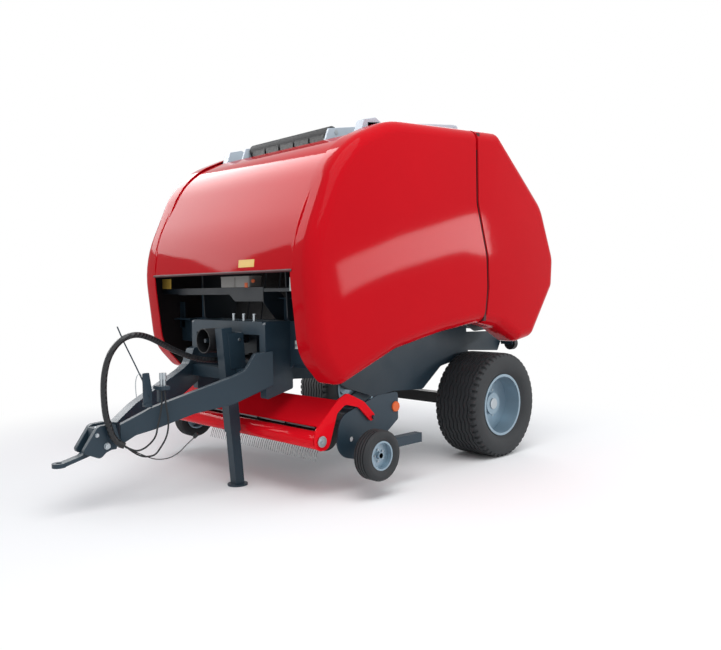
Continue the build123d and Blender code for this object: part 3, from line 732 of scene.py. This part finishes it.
class BALER_OT_bonnet(bpy.types.Operator):
    """Curved red bonnet over the front, with its rims and returns"""

    bl_idname = "baler.bonnet"
    bl_label = "Bonnet"

    def execute(self, context):
        line = rounded(BONNET, closed=False)
        outline = between(line, BONNET_HALF_WALL, -BONNET_HALF_WALL)
        shapes = [(prism, outline, sideways, -BONNET_HALF, BONNET_HALF)]
        sheet = assemble("bonnet_sheet", "cover_enamel", shapes, crease=40)
        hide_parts("bonnet")
        outline = between(line, RETURN_OUT, RETURN_IN)
        start, end = BONNET_HALF - 2, BONNET_HALF + 14
        shapes = [(prism, outline, sideways, sign * start, sign * end) for sign in (1, -1)]
        assemble("bonnet_returns", "cover_enamel", shapes, crease=40, edge=6)
        x, z = LIP
        assemble("bonnet_lip", "seam_dark", [(rod, (x, -BONNET_HALF, z), (x, BONNET_HALF, z), 12, 12)])
        outline = [*along(line, -6), *RIB_BACK]
        shapes = [(prism, outline, sideways, y - 6, y + 6) for y in (-RIB_Y, RIB_Y)]
        # The ribs under the bonnet wear the darkened frame paint: painted shade
        assemble("bonnet_ribs", "painted_shade_coat", shapes)
        return {"FINISHED"}


# Roof plates: outline in side view, and from where to where they reach on the left
ROOF_PLATES = (
    (((1600, 3005), (1600, 3060), (440, 3199), (440, 3120)), 940, 1015),
    (((1745, 2900), (1680, 3060), (1344, 3119), (1183, 3172), (1500, 2960)), 600, 622),
    (((1690, 2935), (1640, 3075), (1500, 3110), (1400, 3060), (1560, 2935)), 925, 1015),
)
GATE_HINGE = (420, 3165)
ROLLER_SPOT = (1595, 3035)
ROLLER_R = 60
ROLLER_HALF = 575
ROLLER_RIBS = 36
LOWER_ROLLER = (1850, 1335)
# One belt's strip in side view, the number of belts, the step from one to the next and half a belt's width
BELT = (
    (1655, 3030), (1655, 2930), (1905, 1400), (1915, 1335),
    (1911, 1335), (1899, 1400), (1649, 2930), (1649, 3030),
)
BELTS = 5
BELT_STEP = 215
BELT_HALF = 95


class BALER_OT_roof(bpy.types.Operator):
    """Roof rails, the front roller on top with its brackets, and the belts"""

    bl_idname = "baler.roof"
    bl_label = "Roof and belts"

    def execute(self, context):
        x, z = GATE_HINGE
        shapes = [(bar, (1340, -610, 3000), (1400, 610, 3060))]
        for sign in (1, -1):
            shapes += [
                (prism, outline, sideways, sign * start, sign * end) for outline, start, end in ROOF_PLATES
            ]
            shapes.append((bar, (1290, sign * 600, 3020), (1350, sign * 950, 3080)))
            shapes.append((rod, (x, sign * 900, z), (x, sign * 1015, z), 34, 24))
        rails = assemble("roof_rails", "roof_coat", shapes, edge=4)
        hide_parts("top_frame")
        x, z = ROLLER_SPOT
        shapes = [(rod, (x, -ROLLER_HALF, z), (x, ROLLER_HALF, z), ROLLER_R, 40)]
        for k in range(ROLLER_RIBS):
            turn = tau * k / ROLLER_RIBS
            rib_x, rib_z = x + ROLLER_R * cos(turn), z + ROLLER_R * sin(turn)
            shapes.append((rod, (rib_x, 2 - ROLLER_HALF, rib_z), (rib_x, ROLLER_HALF - 2, rib_z), 2.2, 6))
        drum = assemble("roof_roller", "rubber", shapes)
        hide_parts("top_roller")
        half = ROLLER_HALF + 50
        assemble("roof_roller_axle", "zinc", [(rod, (x, -half, z), (x, half, z), 22, 20)])
        x, z = LOWER_ROLLER
        shapes = [(rod, (x, -ROLLER_HALF, z), (x, ROLLER_HALF, z), ROLLER_R, 32)]
        assemble("lower_roller", "black_coat", shapes)
        middles = [(k - (BELTS - 1) / 2) * BELT_STEP for k in range(BELTS)]
        shapes = [(prism, BELT, sideways, y - BELT_HALF, y + BELT_HALF) for y in middles]
        assemble("front_belts", "belt", shapes)
        return {"FINISHED"}


# Middle of the left main wheel and of the left gauge wheel, as (ahead, left, up)
WHEEL = (0, 1032, 510)
GAUGE = (1880, 1352, 345)
# Main tyre: steps round it, zigzags and their swing, lugs on the shoulders, their share of a step and depth
TREAD_STEPS = 288
ZIGZAGS = 24
SWING = 8
SHOULDER_LUGS = 48
LUG_SHARE = 0.6
NOTCH = 16
CROWN_R = 509.8
GROOVES = [-161 + 46 * k for k in range(8)]
# Cross sections as (radius, across): the main tyre's sidewall, half of the gauge tyre, one of its grooves
SIDEWALL = ((296, 202), (306, 204), (325, 222), (365, 240), (410, 244.5), (450, 243), (478, 237))
GAUGE_SIDE = ((118, 58), (124, 62), (150, 73), (172, 73.5), (190, 68), (199, 58))
GAUGE_STEPS = 96
GAUGE_GROOVES = (-42, -14, 14, 42)
GAUGE_GROOVE = ((202.4, -6), (194, -4), (194, 4), (202.4, 6))
# Fittings of a wheel: name, body, the wheel's middle, studs as (number, radius of their circle, face across,
# size, the first one's share of a step), cap as (from, to across, radius, tip, sides)
FITTINGS = (
    ("hub_fittings", "wheel", WHEEL, (8, 137.5, 1072, 15, 0.5), (1100, 1136, 62, 54, 32)),
    ("gauge_fittings", "gauge_wheel", GAUGE, (5, 48, 1374, 8, 0), (1370, 1398, 26, 22, 24)),
)


class BALER_OT_tyres(bpy.types.Operator):
    """Tyres with their road tread, and the studs and caps of the wheels"""

    bl_idname = "baler.tyres"
    bl_label = "Tyres"

    def execute(self, context):
        depth = context.scene.baler_sizes.groove_depth / MM
        for side, sign in SIDES:
            made = self.main_tyre(f"main_tyre_{side}", sign * WHEEL[1], depth, f"wheel_{side}")
            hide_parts(f"tyre_{side}")
            made = self.gauge_tyre(f"small_tyre_{side}", sign * GAUGE[1], f"gauge_wheel_{side}")
            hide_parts(f"gauge_tyre_{side}")
            for name, body, (x, _, z), studs, (start, end, radius, tip, sides) in FITTINGS:
                number, circle, face, size, share = studs
                shapes = [(rod, (x, sign * start, z), (x, sign * end, z), radius, sides, tip)]
                for k in range(number):
                    turn = tau * (k + share) / number
                    spot = (x + circle * cos(turn), sign * face, z + circle * sin(turn))
                    shapes.append((bolt, spot, (0, sign, 0), size))
                assemble(f"{name}_{side}", "zinc", shapes, f"{body}_{side}", crease=25)
        return {"FINISHED"}

    def main_tyre(self, name, y, depth, body):
        """Low pressure tyre: eight zigzag grooves and lugs on the shoulders."""
        sections = []
        for k in range(TREAD_STEPS):
            swing = SWING * (2 * abs((k * ZIGZAGS / TREAD_STEPS * 2) % 2 - 1) - 1)
            notch = NOTCH if (k * SHOULDER_LUGS / TREAD_STEPS) % 1 >= LUG_SHARE else 0
            shoulder = ((499 - notch, 226 - notch / 2), (506 - notch, 212), (508.5 - notch, 184), (509, 178))
            section = [(r, -w) for r, w in SIDEWALL + shoulder]
            for centre in GROOVES:
                for shift, drop in ((-7, 0), (-4, depth), (4, depth), (7, 0)):
                    across = centre + shift + swing
                    section.append((CROWN_R - 1.4 * (across / 180) ** 2 - drop, across))
            section += reversed(SIDEWALL + shoulder)
            sections.append([(r, y + w) for r, w in section])
        return assemble(name, "rubber", [(turned, sections, WHEEL[0], WHEEL[2])], body, crease=35)

    def gauge_tyre(self, name, y, body):
        """Small ribbed tyre with four round grooves."""
        section = [(r, -w) for r, w in GAUGE_SIDE]
        for centre in GAUGE_GROOVES:
            section += [(r, centre + w) for r, w in GAUGE_GROOVE]
        section += reversed(GAUGE_SIDE)
        sections = [[(r, y + w) for r, w in section]] * GAUGE_STEPS
        return assemble(name, "rubber", [(turned, sections, GAUGE[0], GAUGE[2])], body, crease=30)


# A drawbar beam from its nose backwards, and a cheek of the head, as (along, up, corner radius)
BEAM = (
    (0, 484, 1), (0, 645, 1), (240, 761, 400), (880, 969, 150), (985, 1018, 60), (1062, 1146, 40),
    (1215, 1162, 1), (1215, 880, 1), (1084, 826, 200), (873, 741, 300), (569, 690, 400), (262, 589, 600),
    (115, 554, 80),
)
CHEEK = (
    (3405, 488, 30), (3452, 662, 40), (3588, 656, 50), (3704, 486, 20), (3695, 460, 20), (3575, 405, 40),
    (3528, 447, 40),
)
# The beams run from their noses to the yoke, as (ahead, left)
BEAM_NOSE = (3400, 60)
BEAM_END = (2363, 520)
BEAM_HALF = 42
FLANGE = ((379, 914), (379, 1400), (790, 1400), (790, 1040), (600, 1040), (450, 914))
FLANGE_X = (2081, 2101)
# Plates of the jack's casing as (from, to ahead, from, to across), their heights, and their lean per mm
CASING = ((2335, 2491, 134, 139), (2335, 2491, 241, 247), (2335, 2341, 139, 241))
CASING_Z = (1004, 1310)
CASING_LEAN = 0.082
FLANGE_BOLTS = ((490, 1298), (503, 1179), (525, 1061), (700, 1340), (740, 1120), (640, 1200))
YOKE_STUDS_Y = (30, 180, 330)
HEAD_BOLTS = ((3524, 497, 26), (3600, 590, 16))
CHAIN = ((3575, 60, 640), (3600, 45, 660), (3600, 30, 560), (3570, 35, 545), (3555, 45, 600))


class BALER_OT_drawbar(bpy.types.Operator):
    """Curved drawbar beams, the head with its bolt, the yoke's flanges and the jack's casing"""

    bl_idname = "baler.drawbar"
    bl_label = "Drawbar"

    def execute(self, context):
        run = atan2(BEAM_END[1] - BEAM_NOSE[1], BEAM_NOSE[0] - BEAM_END[0])
        c, s = cos(run), sin(run)

        def slanted(sign):
            """Places for a plate along the beam on that side, drawn from its nose backwards."""
            return lambda a, z, d: at(BEAM_NOSE[0] - a * c + d * s, sign * (BEAM_NOSE[1] + a * s + d * c), z)

        shapes = [(bar, (3420, -45, 450), (3610, 45, 640))]
        for sign in (1, -1):
            shapes.append((prism, rounded(BEAM), slanted(sign), -BEAM_HALF, BEAM_HALF))
            shapes.append((prism, rounded(CHEEK), sideways, sign * 45, sign * 95))
        beams = assemble("drawbar_beams", "frame_coat", shapes, edge=6)
        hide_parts("drawbar")
        shapes = [(bar, (2243, -480, 1330), (2362, 480, 1403))]
        for sign in (1, -1):
            shapes.append((prism, [(sign * y, z) for y, z in FLANGE], frontways, *FLANGE_X))
        assemble("yoke_flanges", "frame_coat", shapes, edge=3)

        def leaning(x, y, z):
            """Places for a plate drawn from above that leans forward as the jack does."""
            return at(x + (z - CASING_Z[0]) * CASING_LEAN, y, z)

        shapes = [
            (prism, ((x0, y0), (x1, y0), (x1, y1), (x0, y1)), leaning, *CASING_Z) for x0, x1, y0, y1 in CASING
        ]
        assemble("jack_casing", "frame_coat", shapes, edge=5)
        shapes = [(bolt, (2400, CASING[1][3], 1250), (0, 1, 0), 14)]
        for y in YOKE_STUDS_Y:
            shapes.append((rod, (2300, y, 1400), (2300, y, 1462), 13, 12))
            shapes.append((bolt, (2300, y, 1455), (0, 0, 1), 16))
        for sign in (1, -1):
            shapes += [(bolt, (FLANGE_X[1], sign * y, z), (1, 0, 0), 13) for y, z in FLANGE_BOLTS]
            shapes += [(bolt, (x, sign * 95, z), (0, sign, 0), size) for x, z, size in HEAD_BOLTS]
        assemble("drawbar_bolts", "zinc", shapes, crease=25)
        wire("chain_loop", CHAIN, 0.009, "zinc")
        return {"FINISHED"}


# The twine tray's floor line in front view, its upright's line in side view, and how far ahead it reaches
TRAY_FLOOR = ((-892, 1638), (-34, 1638), (56, 1578), (465, 1578))
TRAY_FLOOR_UNDER = ((465, 1570), (52, 1570), (-38, 1630), (-892, 1630))
TRAY_END = ((2300, 1682), (2300, 1559), (2175, 1416), (2083, 1404), (2083, 1610), (2154, 1669))
TRAY_X = (2081, 2292, 2300)
TRAY_TOP = 1692
# A twine box, drawn from above, and its lid: ahead from, to, how far it stands out sideways, heights
BOX_LEVELS = ((2160, 2300, 0, 1693, 1785), (2155, 2304, 2, 1778, 1790))
BOX_SPANS = ((-166, 49), (53, 258))
BOX_ROUND = 14
# Fittings made of plain bars: name, finish, rounded edges, lowest and highest corner of each bar
FRONT_BARS = (
    ("blank_plate", "pale_film", 1, (((2101, 625, 1169), (2105, 741, 1240)),)),
    ("front_brackets", "frame_coat", 2, (
        ((2081, -1225, 1300), (2093, -1130, 1560)), ((2081, -1190, 1170), (2093, -880, 1400)),
        ((2093, -1190, 1385), (2180, -900, 1400)), ((2081, 470, 1405), (2093, 890, 1600)),
        ((2093, 470, 1590), (2150, 890, 1600)),
    )),
    # Tray brackets under the bonnet in the darkened frame paint: painted shade
    ("tray_brackets", "painted_shade_coat", 2, (
        ((2286, -1190, 1640), (2298, -880, 1690)), ((2286, 460, 1650), (2298, 915, 1680)),
    )),
)
TRAY_LABEL = ((2298, -1190, 1692), (2302, -1025, 1788))
PALE_LABEL = ((2298, 812, 1655), (2302, 905, 1765))
BONNET_LABEL = ((2464.5, 1853), (2457.3, 1915), (2453, 1915), (2460, 1853))
REFLECTOR = (1405, 1120, 650)
REFLECTOR_R = 46
ORANGE_DOTS = (
    (rod, (2250, 258, 1745), (2262, 270, 1745), 16, 16), (bar, (2299, 205, 1690), (2305, 245, 1730)),
)


class BALER_OT_front(bpy.types.Operator):
    """Twine tray with its boxes, plates, blank labels and reflectors on the front"""

    bl_idname = "baler.front"
    bl_label = "Front"

    def execute(self, context):
        back, lip, front = TRAY_X
        shapes = [
            (prism, (*TRAY_FLOOR, (465, TRAY_TOP), (-892, TRAY_TOP)), frontways, lip, front),
            (prism, TRAY_FLOOR + TRAY_FLOOR_UNDER, frontways, back, front),
            (prism, TRAY_END, sideways, 457, 465),
        ]
        # The tray under the bonnet wears the darkened frame paint: painted shade
        assemble("twine_tray", "painted_shade_coat", shapes, edge=2)
        shapes = []
        for x0, x1, out, low, high in BOX_LEVELS:
            for start, end in BOX_SPANS:
                y0, y1 = start - out, end + out
                corners = [(x, y, BOX_ROUND) for x, y in ((x0, y0), (x1, y0), (x1, y1), (x0, y1))]
                shapes.append((prism, rounded(corners), at, low, high))
        assemble("twine_boxes", "grey_plastic", shapes, edge=3)
        for name, key, edge, boxes in FRONT_BARS:
            assemble(name, key, [(bar, *box) for box in boxes], edge=edge)
        shapes = [(bar, *TRAY_LABEL), (prism, BONNET_LABEL, sideways, 346, 561)]
        assemble("yellow_labels", "yellow_film", shapes)
        assemble("pale_label", "pale_film", [(bar, *PALE_LABEL)])
        x, y, z = REFLECTOR
        shapes = [
            (rod, (x, sign * (y - 6), z), (x, sign * (y + 5), z), REFLECTOR_R, 28, REFLECTOR_R - 4)
            for sign in (1, -1)
        ]
        assemble("side_reflectors", "orange_plastic", shapes)
        assemble("orange_dots", "orange_plastic", ORANGE_DOTS)
        return {"FINISHED"}


# Tail plate in side view as (ahead, up, corner radius), and its faces across
TAIL_PLATE = (
    (160, 1000, 1), (160, 1215, 1), (-720, 1187, 20), (-744, 1109, 20), (-665, 976, 20), (-30, 1019, 40),
)
TAIL_Y = (701, 713)
LAMP = (-824, 800, 1050)


class BALER_OT_rear(bpy.types.Operator):
    """Tail plates on the axle with the rear lamps"""

    bl_idname = "baler.rear"
    bl_label = "Rear"

    def execute(self, context):
        inner, outer = TAIL_Y
        shapes = [(bar, (-740, -inner, 1060), (-700, inner, 1110))]
        for sign in (1, -1):
            shapes.append((prism, rounded(TAIL_PLATE), sideways, sign * inner, sign * outer))
            shapes.append((bar, (-760, sign * inner, 1040), (-740, sign * 850, 1120)))
        assemble("tail_plates", "frame_coat", shapes, edge=3)
        x, y, z = LAMP
        for name, start, end, radius, tip, key, edge in (
            ("lamp_housings", x + 62, x, 70, 70, "black_plastic", 4),
            ("lamp_lenses", x, x - 10, 62, 56, "red_plastic", 0),
        ):
            places = [((start, sign * y, z), (end, sign * y, z)) for sign in (1, -1)]
            assemble(name, key, [(rod, a, b, radius, 32, tip) for a, b in places], edge=edge)
        return {"FINISHED"}


# Middle of the reel as (ahead, up), the circle of its tine bars, half their length
REEL = (1925, 445)
TINE_BARS = 4
TINE_BAR_R = 125
TINE_BAR_HALF = 800
TINE_BAR_START = radians(35)
# Double tines on a bar, the step between them, and each tine's knee and tip as (outwards, back)
TINES = 26
TINE_STEP = 62
KNEE = (60, 6)
TIP = (118, 26)
REEL_DISCS = 5
GUARD_ROLLER = (2270, 480)


class BALER_OT_pickup(bpy.types.Operator):
    """Spring tines on the reel's bars, the drum inside them, and the caps of the guard's roller"""

    bl_idname = "baler.pickup"
    bl_label = "Pickup"

    def execute(self, context):
        wire_r = context.scene.baler_sizes.tine_wire / MM / 2
        reel_x, reel_z = REEL
        shapes = []
        for bar_no in range(TINE_BARS):
            turn = tau * bar_no / TINE_BARS + TINE_BAR_START
            out = Vector((cos(turn), 0, sin(turn)))
            lag = Vector((sin(turn), 0, -cos(turn)))
            place = Vector((reel_x, 0, reel_z)) + out * TINE_BAR_R
            half = Vector((0, TINE_BAR_HALF, 0))
            shapes.append((rod, place - half, place + half, 14, 12))
            for k in range(TINES):
                for shift in (-14, 14):
                    foot = place + Vector((0, (k - (TINES - 1) / 2) * TINE_STEP + shift, 0))
                    knee, tip = (foot + out * far + lag * back for far, back in (KNEE, TIP))
                    shapes += [(rod, foot, knee, wire_r, 6), (rod, knee, tip, wire_r, 6, wire_r * 0.8)]
        made = assemble("spring_tines", "tine_steel", shapes, "reel", crease=50)
        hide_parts("pickup_reel")
        shapes = [(rod, (reel_x, -830, reel_z), (reel_x, 830, reel_z), 60, 32)]
        for k in range(REEL_DISCS):
            y = (k - (REEL_DISCS - 1) / 2) * 400
            shapes.append((rod, (reel_x, y - 4, reel_z), (reel_x, y + 4, reel_z), 142, 40))
        assemble("reel_drum", "black_coat", shapes, "reel")
        x, z = GUARD_ROLLER
        low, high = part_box("guard_roller")
        shapes = []
        for end, sign in ((high[1] / MM, 1), (low[1] / MM, -1)):
            face = end + sign * 6
            shapes += [(rod, (x, end, z), (x, face, z), 44, 32), (bolt, (x, face, z), (0, sign, 0), 18)]
        assemble("guard_roller_caps", "zinc", shapes, "guard_roller", crease=25)
        return {"FINISHED"}


CAMERA_PLACE = at(6010, 5424, 1654)
CAMERA_AZIMUTH = radians(135.746)
CAMERA_ELEVATION = radians(2.717)
CAMERA_ROLL = radians(-0.828)
SKY_COLOUR = (0.93, 0.96, 1, 1)
WHITE = (1, 1, 1, 1)
# Each lamp: name, place, target, direction that its width runs along, width, height in metres, which setting
# gives its power and by what factor, whether it lights matt surfaces or shows in gloss alone
LAMPS = (
    ("Overhead softbox", (3200, 3200, 6800), (1200, 0, 1400), (1, 0, 0), 5.0, 5.0, "softbox", 1.0, True),
    ("Rear fill", (-4500, -3500, 4500), (1200, 0, 1400), (1, 0, 0), 4.0, 4.0, "softbox", 0.3, True),
    (
        "Cover strip", (-5100, 7400, 2300), (1500, 1270, 1900), (-3.38, -1.48, 0.93), 3.8, 0.82, "strip", 1.0,
        True,
    ),
    ("Bonnet softbox", (3550, -4680, 5370), (2350, 0, 2250), (1, 0.2, -0.4), 6.5, 4.0, "strip", 4.0, False),
)
FLOOR_RADIUS = 60.0
FLOOR_FADE = (2.7, 5.4)


def seen_ray(tree):
    """One where a ray comes from the camera, a reflection or a clear material, and nought elsewhere."""
    path = node(tree, "ShaderNodeLightPath")
    seen = path.outputs["Is Camera Ray"]
    for kind in ("Is Glossy Ray", "Is Transmission Ray"):
        either = node(tree, "ShaderNodeMath", {0: seen, 1: path.outputs[kind]}, operation="MAXIMUM")
        seen = either.outputs["Value"]
    return seen


class BALER_OT_stage(bpy.types.Operator):
    """Camera at the photograph's viewpoint, pale floor and soft light"""

    bl_idname = "baler.stage"
    bl_label = "Studio"

    def execute(self, context):
        settings = context.scene.baler_studio
        self.camera(context, settings)
        self.floor(settings)
        self.light(context, settings)
        context.scene.view_settings.view_transform = "Standard"
        return {"FINISHED"}

    def camera(self, context, settings):
        """The camera looks from the machine's left front, a little downwards and slightly rolled."""
        data = bpy.data.cameras.new("Camera")
        data.lens = settings.lens
        data.sensor_width = 36
        data.clip_end = 200
        camera = linked("Camera", data)
        turns = ((CAMERA_AZIMUTH, "Z"), (pi / 2 - CAMERA_ELEVATION, "X"), (CAMERA_ROLL, "Z"))
        camera.matrix_world = Matrix.Translation(CAMERA_PLACE)
        for angle, axis in turns:
            camera.matrix_world = camera.matrix_world @ Matrix.Rotation(angle, 4, axis)
        context.scene.camera = camera

    def floor(self, settings):
        """A round floor that fades into the white surround, so that no horizon shows."""
        mesh = bpy.data.meshes.new("Floor")
        disc = bmesh.new()
        bmesh.ops.create_circle(disc, cap_ends=True, radius=FLOOR_RADIUS, segments=96)
        disc.to_mesh(mesh)
        disc.free()
        floor = linked("Floor", mesh)
        floor.location = (0, 0, -0.5 * MM)
        paint = bpy.data.materials.new("Studio floor")
        paint.use_nodes = True
        tree = paint.node_tree
        tree.nodes.clear()
        place = node(tree, "ShaderNodeTexCoord").outputs["Object"]
        away = node(tree, "ShaderNodeVectorMath", {0: place}, operation="LENGTH")
        fade = node(
            tree,
            "ShaderNodeMapRange",
            {"Value": away.outputs["Value"], "From Min": FLOOR_FADE[0], "From Max": FLOOR_FADE[1]},
            interpolation_type="SMOOTHSTEP",
        )
        matt = node(tree, "ShaderNodeBsdfDiffuse", {"Color": (*settings.floor, 1)})
        white = node(tree, "ShaderNodeEmission", {"Color": WHITE, "Strength": 1.0})
        share = node(
            tree, "ShaderNodeMath", {0: fade.outputs["Result"], 1: seen_ray(tree)}, operation="MULTIPLY"
        )
        mix = node(
            tree,
            "ShaderNodeMixShader",
            {0: share.outputs["Value"], 1: matt.outputs["BSDF"], 2: white.outputs["Emission"]},
        )
        node(tree, "ShaderNodeOutputMaterial", {"Surface": mix.outputs["Shader"]})
        mesh.materials.append(paint)

    def light(self, context, settings):
        """Even light from all round, a softbox overhead, and long softboxes that the red shell mirrors."""
        world = bpy.data.worlds.new("Surround")
        context.scene.world = world
        world.use_nodes = True
        tree = world.node_tree
        tree.nodes.clear()
        even = node(tree, "ShaderNodeBackground", {"Color": SKY_COLOUR, "Strength": settings.sky})
        white = node(tree, "ShaderNodeBackground", {"Color": WHITE, "Strength": 1.0})
        mix = node(
            tree,
            "ShaderNodeMixShader",
            {0: seen_ray(tree), 1: even.outputs["Background"], 2: white.outputs["Background"]},
        )
        node(tree, "ShaderNodeOutputWorld", {"Surface": mix.outputs["Shader"]})
        for name, place, target, level, width, height, setting, factor, lights in LAMPS:
            here = at(*place)
            back = (here - at(*target)).normalized()
            up = back.cross(Vector(level)).normalized()
            data = bpy.data.lights.new(name, "AREA")
            data.shape = "RECTANGLE"
            data.size, data.size_y = width, height
            data.energy = getattr(settings, setting) * factor
            lamp = linked(name, data)
            turn = Matrix((up.cross(back), up, back)).transposed().to_4x4()
            lamp.matrix_world = Matrix.Translation(here) @ turn
            lamp.visible_camera = False
            lamp.visible_diffuse = lights


class BALER_PT_panel(bpy.types.Panel):
    """Everything that dresses the machine"""

    bl_label = "Round baler"
    bl_space_type = "VIEW_3D"
    bl_region_type = "UI"
    bl_category = "Baler"

    def draw(self, context):
        for key, kind in SETTINGS:
            box = self.layout.box()
            for name in kind.__annotations__:
                box.prop(getattr(context.scene, key), name)
        for step in STEPS:
            self.layout.operator(step.bl_idname)


STEPS = (
    BALER_OT_stage, BALER_OT_hoses, BALER_OT_finishes, BALER_OT_covers, BALER_OT_bonnet, BALER_OT_roof,
    BALER_OT_tyres, BALER_OT_drawbar, BALER_OT_front, BALER_OT_rear, BALER_OT_pickup,
)
SETTINGS = (("baler_colours", BalerColours), ("baler_sizes", BalerSizes), ("baler_studio", BalerStudio))


def register():
    for key, group in SETTINGS:
        bpy.utils.register_class(group)
        setattr(bpy.types.Scene, key, PointerProperty(type=group))
    for step in STEPS:
        bpy.utils.register_class(step)
    bpy.utils.register_class(BALER_PT_panel)


def unregister():
    bpy.utils.unregister_class(BALER_PT_panel)
    for step in reversed(STEPS):
        bpy.utils.unregister_class(step)
    for key, group in reversed(SETTINGS):
        delattr(bpy.types.Scene, key)
        bpy.utils.unregister_class(group)


def main():
    register()
    for step in STEPS:
        getattr(bpy.ops.baler, step.bl_idname.removeprefix("baler."))()


if __name__ == "__main__":
    main()
